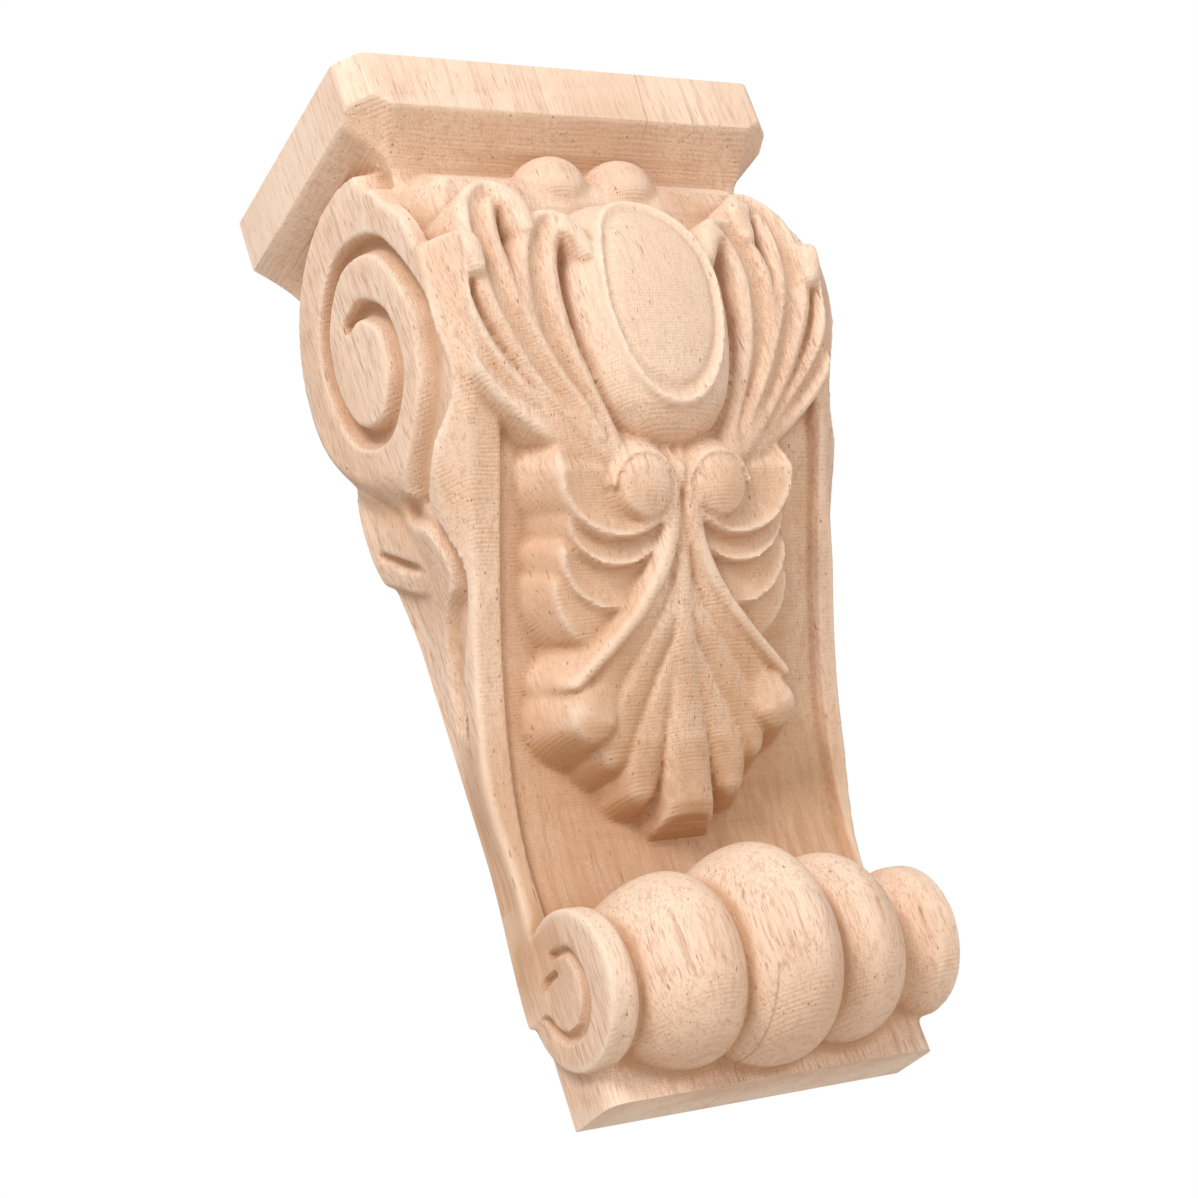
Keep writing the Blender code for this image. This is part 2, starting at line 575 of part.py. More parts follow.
def rough_block():
    """Skin of the block, still long at its back and ends, as an object in metres."""
    half = CAP_WIDTH / 2.0 + 2.0 * GRID
    places = np.arange(-round(half / GRID) - 1, round(half / GRID) + 2) * GRID + GRID / 2.0
    depths = np.arange(-SAW_MARGIN - 2.0 * GRID, 2.0 * SCROLL_RADIUS + 14.0, GRID)
    heights = np.arange(-SAW_MARGIN - 2.0 * GRID, HEIGHT + SAW_MARGIN + 3.0 * GRID, GRID)
    across, depth, height = np.meshgrid(places, depths, heights, indexing="ij")
    field = settle(wood(across, depth, height))
    vertices, quads = skin(field, (places, depths, heights))
    vertices[:, 1] *= -1.0
    vertices[:, 2] -= MOUNT_HEIGHT
    mesh = bpy.data.meshes.new("rough_block")
    mesh.from_pydata((vertices * MM).tolist(), [], quads[:, ::-1].tolist())
    rough = bpy.data.objects.new("rough_block", mesh)
    bpy.context.scene.collection.objects.link(rough)
    thin = rough.modifiers.new("thin", "DECIMATE")
    thin.ratio = KEEP_SHARE
    return rough


def sawn_block(rough):
    """The thinned skin with its back, top and underside sawn off true."""
    sculpt = bmesh.new()
    sculpt.from_object(rough, bpy.context.evaluated_depsgraph_get())
    keep_block(sculpt)
    saw(sculpt, (0.0, 0.0, 0.0), (0.0, 1.0, 0.0))
    saw(sculpt, (0.0, 0.0, (HEIGHT - MOUNT_HEIGHT) * MM), (0.0, 0.0, 1.0))
    saw(sculpt, (0.0, 0.0, -MOUNT_HEIGHT * MM), (0.0, 0.0, -1.0))
    bmesh.ops.triangulate(sculpt, faces=sculpt.faces[:])
    bmesh.ops.recalc_face_normals(sculpt, faces=sculpt.faces[:])
    mesh = bpy.data.meshes.new("corbel")
    sculpt.to_mesh(mesh)
    sculpt.free()
    bpy.data.objects.remove(rough, do_unlink=True)
    return mesh


def bare_wood():
    """Pale unfinished hardwood."""
    material = bpy.data.materials.new("bare_wood")
    material.use_nodes = True
    shader = material.node_tree.nodes["Principled BSDF"]
    shader.inputs["Base Color"].default_value = WOOD_COLOUR
    shader.inputs["Roughness"].default_value = 0.6
    shader.inputs["Metallic"].default_value = 0.0
    material.diffuse_color = WOOD_COLOUR
    return material


def main():
    for old in list(bpy.data.objects):
        bpy.data.objects.remove(old, do_unlink=True)
    mesh = sawn_block(rough_block())
    mesh.materials.append(bare_wood())
    corbel = bpy.data.objects.new("corbel", mesh)
    bpy.context.scene.collection.objects.link(corbel)


main()
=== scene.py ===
"""Carved wooden corbel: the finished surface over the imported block, and its stage.

X runs across the width, the carved front faces -Y, the back lies on y = 0 and the
origin is on the back. The carving is described in millimetres: "height" is measured
up from the underside of the foot, "depth" forward from the wall, and "run" along the
front border, up from the roll.
"""

from types import SimpleNamespace

import bmesh
import bpy
import numpy as np
from bpy.props import FloatProperty, FloatVectorProperty, IntProperty, PointerProperty
from bpy.types import Operator, Panel, PropertyGroup
from mathutils import Euler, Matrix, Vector


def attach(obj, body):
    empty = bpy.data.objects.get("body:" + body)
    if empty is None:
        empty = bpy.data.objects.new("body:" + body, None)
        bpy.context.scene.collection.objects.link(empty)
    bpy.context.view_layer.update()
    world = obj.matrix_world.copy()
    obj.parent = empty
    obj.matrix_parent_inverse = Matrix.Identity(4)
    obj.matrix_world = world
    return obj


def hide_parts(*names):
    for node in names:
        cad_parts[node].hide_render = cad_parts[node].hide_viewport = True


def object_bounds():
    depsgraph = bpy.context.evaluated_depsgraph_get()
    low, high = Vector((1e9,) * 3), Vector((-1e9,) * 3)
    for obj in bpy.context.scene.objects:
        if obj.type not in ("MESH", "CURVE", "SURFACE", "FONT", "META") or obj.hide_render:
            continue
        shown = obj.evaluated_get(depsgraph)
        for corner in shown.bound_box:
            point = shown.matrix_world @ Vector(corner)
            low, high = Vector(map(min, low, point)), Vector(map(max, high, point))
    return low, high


bl_info = {
    "name": "Carved Corbel",
    "version": (1, 0, 0),
    "blender": (4, 5, 0),
    "location": "3D View > Sidebar > Corbel",
    "description": "Carves a wooden corbel bracket and sets it on a pale stage",
    "category": "Object",
}

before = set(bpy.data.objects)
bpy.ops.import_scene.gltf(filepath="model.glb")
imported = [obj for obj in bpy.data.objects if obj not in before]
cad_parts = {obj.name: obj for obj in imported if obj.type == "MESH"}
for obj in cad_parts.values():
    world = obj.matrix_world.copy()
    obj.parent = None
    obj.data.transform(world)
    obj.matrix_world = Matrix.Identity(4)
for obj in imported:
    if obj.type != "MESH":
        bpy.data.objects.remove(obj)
CAD_BOX = [list(corner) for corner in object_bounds()]

MM = 0.001

# Block
HEIGHT = 200.0
MOUNT_HEIGHT = 110.0

# Cap: a slab with clipped front corners over a cove
CAP_WIDTH = 100.0
CAP_DEPTH = 55.0
FASCIA_HEIGHT = 12.0
COVE_HEIGHT = 10.0
COVE_REACH = 9.5
COVE_BEND = 1.6
CORNER_CLIP = 4.5
CORNER_RISE = 2.0

# Side profile of the body: a round scroll that flows into a hollow sweep
SCROLL_RADIUS = 29.5
SCROLL_HEIGHT = 154.0
SCROLL_LEAVE = 20.0
SWEEP_FOOT_HEIGHT = 44.0
SWEEP_FOOT_DEPTH = 8.2
SWEEP_UPPER_PULL = 24.0
SWEEP_LOWER_PULL = 37.0

# Widths of the body
SCROLL_WIDTH = 94.0
FACET_WIDTH = 5.6
FACET_DEPTH = 4.6
BORDER_WIDTH = 85.0
BORDER_SHIFT = 1.8
BACK_WIDTH = 80.0
BORDER_STRIP = 5.4
PANEL_SHIFT = 2.6
FIELD_SINK = 1.6
LEAF_GROUND_SINK = 4.2
GROOVE_DEPTH = 3.2
GROUND_SINK = 2.4

# Roll across the bottom, three melon ribs between two end discs
ROLL_WIDTH = 79.0
ROLL_HEIGHT = 21.2
ROLL_BACK_GAP = 0.6
MAIN_RIB_RADIUS = 20.6
SIDE_RIB_RADIUS = 18.0
RIB_PITCH = 17.5
RIB_SWELL = 3.1
RIB_SHOULDER = 9.6
RIB_SHIFT = -1.6
NECK_RADIUS = 12.4
DISC_RADIUS = 14.7
DISC_THICKNESS = 5.0
DISC_FLARE = 4.6
ROLL_GROOVE_DEPTH = 1.4

# Foot block under the roll
FOOT_WIDTH = 74.0
FOOT_DEPTH = 14.0
FOOT_HEIGHT = 25.2
FOOT_CLIP = 2.0

# Front carving, as (place across, run) with half widths and reaches
EGG_RUN = 108.2
EGG_HALF_WIDTH = 18.6
EGG_HALF_LENGTH = 30.8
EGG_FULLNESS = 2.25
CABOCHON_RUN = 111.6
CABOCHON_HALF_WIDTH = 13.0
CABOCHON_HALF_LENGTH = 20.2
CABOCHON_RIM = 1.1
CABOCHON_LIFT = 0.3
CABOCHON_DOME = 1.2
RIM_WIDTH = 0.7
RIM_STEP = 0.6
EYE_PLACE = 8.6
EYE_RUN = 75.2
EYE_RADIUS = 6.2
EYE_BAND = 0.9
EYE_GROOVE = 0.9
CURL_PLACE = 8.1
CURL_HEIGHT = 174.0
CURL_DEPTH = 47.3
CURL_SIZE = (8.0, 7.8, 7.2)
SHOULDER_FALL = 5.4
PANEL_LINE = 0.7
PANEL_FLARE = 6.0

# Runs along the front between which its sunk panel and its shoulders change
PANEL_WIDENS = (92.0, 104.0)
PANEL_STRAIGHTENS = (84.0, 104.0)
PANEL_DEEPENS = (78.0, 100.0)
PANEL_ENDS = (134.0, 146.0)
LINE_ENDS = (80.0, 100.0)
SHOULDER_STARTS = (112.0, 122.0)
SHOULDER_EASES = (144.0, 158.0)
SHOULDER_PLACES = (33.0, 42.0)

# Skin
SAW_MARGIN = 2.0
ARRIS = 1.2
SHARP_ANGLE = 42.0
CREVICE_REACH = 1.0
HOLLOW_REACH = 3.2

# How far the crown of the carving stands off the border, as (run, reach)
CROWN = (
    (0.0, 1.0), (8.0, 5.0), (12.0, 7.0), (25.0, 9.4), (50.0, 11.6), (62.0, 11.4), (78.0, 10.2),
    (91.0, 9.8), (100.0, 7.4), (110.0, 5.0), (122.0, 3.6), (134.0, 2.6), (152.0, 1.5),
)

# Leaf ribbons from the curled tip down to the eye: (place across, run, half width, reach)
LEAF_RIBBONS = (
    ((13.8, 119.5, 1.8, 2.6), (16.5, 124.5, 2.4, 3.0), (21.0, 125.5, 3.4, 2.4),
     (24.6, 119.0, 4.4, 1.2), (25.2, 110.0, 4.8, 1.4), (23.6, 101.5, 4.6, 3.0),
     (20.4, 94.0, 4.0, 4.8), (16.8, 87.0, 3.2, 6.6), (13.6, 81.5, 2.6, 8.2)),
    ((25.6, 125.0, 1.9, 2.4), (26.2, 130.5, 2.5, 3.0), (30.0, 134.0, 3.2, 2.8),
     (34.0, 130.0, 3.8, 1.6), (35.2, 121.5, 4.2, 0.6), (33.8, 112.0, 4.4, 1.2),
     (30.6, 104.0, 4.2, 2.4), (26.2, 96.0, 3.6, 4.2), (20.6, 88.5, 3.0, 6.4),
     (15.6, 82.0, 2.4, 7.8)),
    ((38.6, 116.5, 1.9, 2.2), (40.0, 120.5, 2.6, 2.8), (43.0, 118.5, 3.0, 2.2),
     (43.4, 111.0, 3.0, 1.6), (41.0, 103.0, 3.4, 2.2), (36.2, 96.0, 3.4, 3.2),
     (29.6, 89.5, 3.0, 4.4), (22.6, 84.0, 2.6, 5.8), (16.0, 79.0, 2.2, 7.2)),
)

# Scooped lobes below the eye: (place across, run, half width, half length, drop, scoop)
LOBES = (
    (13.4, 78.0, 13.2, 11.8, 0.5, 2.1), (14.0, 69.6, 10.6, 9.0, 1.7, 1.9),
    (14.6, 62.6, 11.0, 10.6, 2.5, 1.7), (14.4, 56.5, 12.4, 13.0, 4.2, 0.0),
)

# Fingers of the fan, and the band along its edge: (place across, run, half width, drop)
FAN_FINGERS = (
    ((0.0, 72.0, 1.4, 1.4), (0.0, 60.0, 1.8, 0.8), (0.0, 50.0, 2.4, 0.6), (0.0, 38.0, 3.4, 0.4),
     (0.0, 26.0, 4.6, 0.1), (0.0, 17.0, 5.2, 0.0), (0.0, 10.0, 5.4, 0.0)),
    ((0.4, 50.0, 1.4, 2.0), (2.6, 42.0, 2.2, 1.1), (5.4, 34.5, 3.0, 0.9), (8.2, 27.0, 3.8, 0.7),
     (9.8, 20.6, 3.9, 0.7), (10.2, 16.4, 3.1, 0.9)),
    ((0.6, 59.0, 1.4, 2.0), (3.6, 50.0, 2.2, 1.1), (7.6, 42.5, 3.1, 0.9), (11.4, 35.0, 3.7, 0.8),
     (14.4, 28.0, 4.0, 0.9), (15.4, 23.6, 3.3, 1.2)),
    ((1.6, 66.0, 1.4, 1.8), (4.6, 57.5, 2.0, 1.2), (8.8, 50.0, 2.9, 1.1), (13.4, 43.0, 3.5, 1.2),
     (17.2, 36.5, 3.8, 1.2), (19.8, 32.6, 4.6, 0.0), (20.8, 30.8, 4.8, -0.5)),
)
FAN_FOOT_RUN = 6.6
FAN_BAND = (
    (2.4, 75.0, 1.5, 0.4), (2.8, 67.0, 1.5, 0.1), (5.4, 59.5, 1.4, 0.0), (9.8, 52.5, 1.3, 0.0),
    (15.2, 46.2, 1.2, 0.2), (20.2, 41.2, 1.2, 0.6), (23.8, 37.6, 1.2, 1.0),
)

# Side scroll groove: (turn in degrees from the front, radius, half width)
SCROLL_EYE = (26.5, 147.5)
SCROLL_GROOVE = (
    (-88.0, 30.0, 4.6), (-50.0, 24.4, 4.4), (-20.0, 22.4, 3.8), (0.0, 22.0, 3.0),
    (50.0, 22.4, 2.2), (90.0, 23.0, 2.3), (128.0, 20.0, 2.4), (170.0, 15.8, 2.3),
    (220.0, 14.8, 2.4), (265.0, 14.0, 3.0), (310.0, 11.0, 3.6), (355.0, 9.0, 3.4),
    (395.0, 9.4, 2.6), (440.0, 11.0, 2.2), (470.0, 11.6, 1.6),
)
ROLL_EYE = (14.6, 21.2)
ROLL_GROOVE = (
    (100.0, 7.6, 0.8), (60.0, 7.4, 1.0), (15.0, 6.4, 1.3), (-30.0, 6.4, 1.6), (-80.0, 7.4, 1.6),
    (-130.0, 8.4, 1.3), (-175.0, 8.8, 1.0), (-215.0, 7.0, 0.9), (-250.0, 4.4, 0.8),
)

# Side panel under the scroll, as (depth, height, half width, level)
SIDE_GROUND = (
    (20.0, 118.5, 3.6, 1.0), (26.0, 113.0, 3.2, 1.0), (27.0, 105.0, 2.0, 1.0), (24.0, 98.0, 2.4, 1.0),
    (17.5, 94.0, 5.0, 1.0), (11.5, 87.0, 4.6, 1.0), (7.0, 79.0, 2.6, 0.6),
)
SIDE_LEAF = (
    (0.0, 124.0, 9.0, 3.0), (8.0, 116.0, 7.0, 3.2), (14.0, 110.0, 6.0, 3.2), (19.0, 104.6, 3.2, 2.8),
)
LEAF_SLOT = ((3.5, 117.5, 1.1, 1.0), (9.0, 112.6, 1.4, 1.2), (14.0, 108.4, 1.2, 1.0))
EDGE_SLOT = ((15.0, 86.5, 1.2, 2.0), (12.0, 80.5, 1.5, 2.6), (9.2, 75.0, 1.1, 1.6))


def smooth_max(first, second, radius):
    """Larger of two fields, with the corner between them rounded."""
    share = np.clip(0.5 + 0.5 * (first - second) / radius, 0.0, 1.0)
    return second + (first - second) * share + radius * share * (1.0 - share)


def smooth_min(first, second, radius):
    """Smaller of two fields, with the corner between them filled."""
    return -smooth_max(-first, -second, radius)


def smooth_step(value, start, end):
    """Rise from 0 at start to 1 at end."""
    share = np.clip((value - start) / (end - start), 0.0, 1.0)
    return share * share * (3.0 - 2.0 * share)


def spline(rows, steps=12):
    """Smooth curve through rows of numbers, with its ends held."""
    rows = np.array(rows, float)
    rows = np.vstack([2.0 * rows[0] - rows[1], rows, 2.0 * rows[-1] - rows[-2]])
    share = np.linspace(0.0, 1.0, steps, endpoint=False)[:, None]
    spans = []
    for a, b, c, d in zip(rows, rows[1:], rows[2:], rows[3:]):
        spans.append(0.5 * (2.0 * b + (c - a) * share
                            + (2.0 * a - 5.0 * b + 4.0 * c - d) * share ** 2
                            + (3.0 * b - a - 3.0 * c + d) * share ** 3))
    return np.vstack(spans + [rows[-2:-1]])


def along(path, across, up):
    """Nearest point of a path, as (distance over half width, half width, level)."""
    nearest = np.full(across.shape, np.inf)
    half_width = np.ones(across.shape)
    level = np.zeros(across.shape)
    for x, y, width, value in spline(path):
        reach = np.hypot(across - x, up - y) / width
        closer = reach < nearest
        nearest = np.where(closer, reach, nearest)
        half_width = np.where(closer, width, half_width)
        level = np.where(closer, value, level)
    return nearest, half_width, level


def front_profile():
    """Depth, height and run of the front border, from the roll up to the cap."""
    leave = np.radians(SCROLL_LEAVE)
    start = np.array([SCROLL_RADIUS * (1.0 + np.cos(leave)),
                      SCROLL_HEIGHT - SCROLL_RADIUS * np.sin(leave)])
    foot = np.array([SWEEP_FOOT_DEPTH, SWEEP_FOOT_HEIGHT])
    pull = start - SWEEP_UPPER_PULL * np.array([np.sin(leave), np.cos(leave)])
    lift = foot + np.array([0.0, SWEEP_LOWER_PULL])
    t = np.linspace(0.0, 1.0, 130)[:, None]
    sweep = ((1 - t) ** 3 * foot + 3 * (1 - t) ** 2 * t * lift
             + 3 * (1 - t) * t ** 2 * pull + t ** 3 * start)
    neck_depth = CAP_DEPTH - COVE_REACH
    top = np.arccos(neck_depth / SCROLL_RADIUS - 1.0)
    turn = np.linspace(-leave, top, 100)[1:]
    scroll = np.stack([SCROLL_RADIUS * (1.0 + np.cos(turn)),
                       SCROLL_HEIGHT + SCROLL_RADIUS * np.sin(turn)], 1)
    neck = np.array([[neck_depth, h] for h in np.linspace(scroll[-1, 1] + 0.5, HEIGHT + 6.0, 40)])
    stem = np.array([[SWEEP_FOOT_DEPTH, h] for h in np.linspace(-6.0, SWEEP_FOOT_HEIGHT - 0.5, 60)])
    curve = np.vstack([stem, sweep, scroll, neck])
    run = np.concatenate([[0.0], np.cumsum(np.hypot(*np.diff(curve, axis=0).T))])
    return curve, run - run[len(stem)]


def against_front(depth, height):
    """Distance in front of the border, and the run of the nearest point on it."""
    curve, run = front_profile()
    tangent = np.gradient(curve, run, axis=0)
    tangent /= np.linalg.norm(tangent, axis=1)[:, None]
    near = np.full(depth.shape, np.inf)
    index = np.zeros(depth.shape, int)
    for i, (d, h) in enumerate(curve):
        gap = (depth - d) ** 2 + (height - h) ** 2
        closer = gap < near
        near = np.where(closer, gap, near)
        index = np.where(closer, i, index)
    off_depth = depth - curve[index, 0]
    off_height = height - curve[index, 1]
    t = tangent[index]
    ahead = off_depth * t[..., 1] - off_height * t[..., 0]
    return ahead, run[index] + off_depth * t[..., 0] + off_height * t[..., 1]


def crown(run):
    """Reach of the carving's crown off the border."""
    return np.interp(run, *np.array(CROWN).T)


def front_field(place, run):
    """Sunk panel inside the raised border strips, and the fallen front corner."""
    edge = BORDER_WIDTH / 2.0 - BORDER_STRIP + PANEL_FLARE * smooth_step(run, *PANEL_WIDENS)
    low = 1.0 - smooth_step(run, *PANEL_STRAIGHTENS)
    across = np.abs(place - PANEL_SHIFT * low)
    sink = FIELD_SINK + (LEAF_GROUND_SINK - FIELD_SINK) * smooth_step(run, *PANEL_DEEPENS)
    sink = sink * (1.0 - smooth_step(run, *PANEL_ENDS))
    panel = -sink * (1.0 - smooth_step(across, edge - 1.0, edge + 0.3))
    line = np.exp(-((across - edge + 0.6) / 0.6) ** 2) * (1.0 - smooth_step(run, *LINE_ENDS))
    shoulder = smooth_step(np.abs(place), *SHOULDER_PLACES) * smooth_step(run, *SHOULDER_STARTS)
    shoulder = shoulder * (1.0 - 0.7 * smooth_step(run, *SHOULDER_EASES))
    return panel - PANEL_LINE * line - SHOULDER_FALL * shoulder


def egg(across, run):
    """Oval cabochon in a raised ring, set in a larger egg."""
    inner = np.hypot(across / CABOCHON_HALF_WIDTH, (run - CABOCHON_RUN) / CABOCHON_HALF_LENGTH)
    outer = ((across / EGG_HALF_WIDTH) ** EGG_FULLNESS
             + (np.abs(run - EGG_RUN) / EGG_HALF_LENGTH) ** EGG_FULLNESS) ** (1.0 / EGG_FULLNESS)
    face = crown(run) + CABOCHON_LIFT - CABOCHON_DOME * np.minimum(inner, 1.0) ** 2
    share = np.clip((outer - 0.5) / 0.5, 0.0, 1.0)
    flank = (crown(run) + LEAF_GROUND_SINK) * (1.0 - np.sqrt(1.0 - share ** 2.4))
    beyond = 40.0 * np.maximum(outer - 1.0, 0.0)
    off_rim = (inner - 1.0) * CABOCHON_HALF_WIDTH
    rim = np.exp(-(off_rim / RIM_WIDTH) ** 2) - 0.45 * np.exp(-((off_rim + 1.5) / RIM_WIDTH) ** 2)
    return face - flank - beyond + CABOCHON_RIM * rim - RIM_STEP * smooth_step(off_rim, 0.3, 1.5)


def eye(across, run):
    """Round boss in a rolled band that opens towards the lobes below it."""
    radius = np.hypot(across - EYE_PLACE, run - EYE_RUN)
    turn = np.degrees(np.arctan2(run - EYE_RUN, EYE_PLACE - across))
    closed = smooth_step(turn, -115.0, -75.0)
    off_boss = radius - EYE_RADIUS
    boss = crown(run) + 1.2 - 1.3 * (np.minimum(radius, EYE_RADIUS) / EYE_RADIUS) ** 2
    groove = EYE_GROOVE * np.exp(-(off_boss / 0.55) ** 2)
    open_side = 1.6 * (1.0 - closed) * smooth_step(off_boss, -1.0, 1.0)
    wall = 2.2 * np.maximum(off_boss - EYE_BAND, 0.0)
    return boss - groove - open_side - wall


def lobes(across, run):
    """Scooped lobes over a plain one, each with its rim standing over the next."""
    relief = np.full(across.shape, -20.0)
    for place, at, half_width, half_length, drop, hollow in LOBES:
        reach = np.hypot((across - place) / half_width, (run - at) / half_length)
        rim = crown(run) - drop - 0.9 * np.maximum(run - at - 1.0, 0.0)
        scoop = hollow * (1.0 - np.minimum(reach, 1.0) ** 4)
        wall = 2.3 * half_width * np.maximum(reach - 1.0, 0.0)
        fall = 2.6 * np.maximum(across / (place + half_width) - 0.72, 0.0)
        relief = np.maximum(relief, rim - scoop - wall - fall)
    return relief


def ribbon(path, across, run, sag, wall, from_crown=False, flute=0.0):
    """Band along a path: its level at the middle, its sag at the edge, then a wall."""
    gap, half_width, level = along(path, across, run)
    top = crown(run) - level if from_crown else level
    channel = flute * (1.0 - smooth_step(gap, 0.15, 0.62)) * smooth_step(half_width, 2.6, 3.4)
    edge = sag * np.minimum(gap, 1.0) ** 3
    return top - channel - edge - wall * half_width * np.maximum(gap - 1.0, 0.0)


def front_relief(place, run):
    """Reach of the carved front beyond the border, over the whole front."""
    across = np.abs(place)
    relief = smooth_max(front_field(place, run), egg(across, run), 0.6)
    for path in LEAF_RIBBONS:
        relief = np.maximum(relief, ribbon(path, across, run, 1.0, 2.2, flute=1.5))
    relief = smooth_max(relief, lobes(across, run), 0.5)
    blunt = 2.4 * (run - FAN_FOOT_RUN) - FIELD_SINK
    for path in FAN_FINGERS:
        relief = np.maximum(relief, np.minimum(ribbon(path, across, run, 1.1, 2.2, True), blunt))
    relief = np.maximum(relief, ribbon(FAN_BAND, across, run, 0.3, 2.4, True))
    return smooth_max(relief, eye(across, run), 0.4)


def polar_path(centre, rows):
    """Path rows (depth, height, half width, 1) from turns and radii about a centre."""
    path = []
    for turn, radius, half_width in rows:
        angle = np.radians(turn)
        path.append((centre[0] + radius * np.cos(angle), centre[1] + radius * np.sin(angle),
                     half_width, 1.0))
    return path


def cut(path, depth, height, edge=0.4):
    """Depth share of a groove along a path, 1 in its bed and 0 outside."""
    gap, _, level = along(path, depth, height)
    return level * (1.0 - smooth_step(gap, edge, 1.0))


def side_half_width(depth, height):
    """Half width of the body at each place of its side."""
    curve, _ = front_profile()
    front = np.interp(height, curve[:, 1], curve[:, 0])
    back = BACK_WIDTH / 2.0
    narrow = smooth_step(height, SWEEP_FOOT_HEIGHT - 2.0, SWEEP_FOOT_HEIGHT + 24.0)
    border = back + (BORDER_WIDTH / 2.0 - back) * narrow
    facet = FACET_WIDTH * np.clip(1.0 - (front - depth) / FACET_DEPTH, 0.0, 1.0)
    flare = (SCROLL_WIDTH - BORDER_WIDTH) / 2.0 - facet
    border = border + flare * smooth_step(height, 92.0, 122.0)
    share = smooth_step(depth / front, 0.0, 0.85)
    width = back + (border - back) * share
    inside = smooth_step(front - depth, 2.0, 4.0)
    width = width - GROUND_SINK * inside * cut(SIDE_GROUND, depth, height)
    gap, half_width, level = along(SIDE_LEAF, depth, height)
    leaf = back + level - 1.0 * np.minimum(gap, 1.0) ** 2
    leaf = leaf - 2.2 * half_width * np.maximum(gap - 1.0, 0.0)
    width = np.maximum(width, leaf - 1.6 * cut(LEAF_SLOT, depth, height))
    width = width - 1.8 * inside * cut(EDGE_SLOT, depth, height)
    off_scroll = np.hypot(depth - SCROLL_RADIUS, height - SCROLL_HEIGHT) - SCROLL_RADIUS
    below = smooth_step(height, SCROLL_HEIGHT + 4.0, SCROLL_HEIGHT - 12.0)
    disc = 1.0 - smooth_step(off_scroll, -0.4, 0.8 + 7.0 * below)
    neck = CAP_WIDTH / 2.0 - COVE_REACH
    above = smooth_step(height, SCROLL_HEIGHT - 4.0, SCROLL_HEIGHT + 4.0)
    width = width + (neck - width) * above
    face = SCROLL_WIDTH / 2.0 - facet
    width = width + (face - width) * disc
    return width - GROOVE_DEPTH * cut(polar_path(SCROLL_EYE, SCROLL_GROOVE), depth, height)


def body(across, depth, height):
    """Console body between the cap and the roll."""
    ahead, run = against_front(depth[0], height[0])
    width = side_half_width(depth[0], height[0])
    places = across[:, 0, 0]
    runs = np.arange(run.min() - 1.0, run.max() + 1.0, 0.5)
    relief = front_relief(*np.meshgrid(places, runs, indexing="ij"))
    shift = BORDER_SHIFT * (1.0 - smooth_step(height[0], SCROLL_HEIGHT - 58.0, SCROLL_HEIGHT - 34.0))
    shift = shift * smooth_step(height[0], ROLL_HEIGHT, SWEEP_FOOT_HEIGHT + 10.0)
    result = np.empty(across.shape)
    for i, place in enumerate(places):
        front = ahead - np.interp(run, runs, relief[i])
        side = np.abs(place - shift) - width
        result[i] = smooth_max(front, side, ARRIS)
    return np.maximum(result, np.maximum(height - HEIGHT + 1.0, SWEEP_FOOT_HEIGHT - 24.0 - height))


def clipped_slab(across, depth, half_width, front, clip, radius):
    """Plan of a slab against the wall, with its two front corners clipped."""
    sides = smooth_max(across - half_width, depth - front, radius)
    corner = (across + depth - half_width - front + clip) / np.sqrt(2.0)
    return smooth_max(sides, corner, radius)


def cap(across, depth, height):
    """Cap slab with the cove under it."""
    half_width = CAP_WIDTH / 2.0
    under = HEIGHT - FASCIA_HEIGHT
    rise = np.clip((height - under + COVE_HEIGHT) / COVE_HEIGHT, 0.0, 1.0)
    reach = COVE_REACH * (1.0 - rise ** COVE_BEND)
    late = np.clip((height - under + COVE_HEIGHT) / (COVE_HEIGHT + CORNER_RISE), 0.0, 1.0)
    corner_reach = COVE_REACH * (1.0 - late ** COVE_BEND)
    sides = smooth_max(across - half_width + reach, depth - CAP_DEPTH + reach, 0.6)
    corner = (across + depth - half_width - CAP_DEPTH + CORNER_CLIP) / np.sqrt(2.0) + corner_reach
    plan = smooth_max(sides, corner, 0.6)
    return smooth_max(plan, under - COVE_HEIGHT - 6.0 - height, 1.0)


def roll_radius(across):
    """Radius of the roll at each place across the width."""
    ribs = np.abs(across - RIB_SHIFT)
    main = MAIN_RIB_RADIUS - RIB_SWELL * (ribs / (RIB_PITCH / 2.0)) ** 2
    beyond = ribs - RIB_PITCH
    reach = np.where(beyond > 0.0, RIB_SHOULDER, RIB_PITCH / 2.0)
    side = SIDE_RIB_RADIUS - RIB_SWELL * (beyond / reach) ** 2
    start = ROLL_WIDTH / 2.0 - DISC_THICKNESS
    disc = NECK_RADIUS + (DISC_RADIUS - NECK_RADIUS) * smooth_step(
        np.abs(across), start - DISC_FLARE, start + 1.0)
    return np.maximum(np.maximum(main, side), disc)


def roll(across, depth, height):
    """Roll with melon ribs and end discs, its back just clear of the wall."""
    radius = roll_radius(across)
    around = np.hypot(depth - radius - ROLL_BACK_GAP, height - ROLL_HEIGHT) - radius
    groove = cut(polar_path(ROLL_EYE, ROLL_GROOVE), depth[0], height[0])[None]
    end = np.abs(across) - ROLL_WIDTH / 2.0 + ROLL_GROOVE_DEPTH * groove
    return smooth_max(around, end, 1.0)


def foot(across, depth, height):
    """Foot block behind and below the roll."""
    plan = clipped_slab(across, depth, FOOT_WIDTH / 2.0, FOOT_DEPTH, FOOT_CLIP, 0.8)
    return np.maximum(plan, height - FOOT_HEIGHT)


def curls(across, depth, height):
    """Pair of small scroll knobs under the cove."""
    gap = np.sqrt(((across - CURL_PLACE) / CURL_SIZE[0]) ** 2
                  + ((depth - CURL_DEPTH) / CURL_SIZE[1]) ** 2
                  + ((height - CURL_HEIGHT) / CURL_SIZE[2]) ** 2)
    return (gap - 1.0) * min(CURL_SIZE)


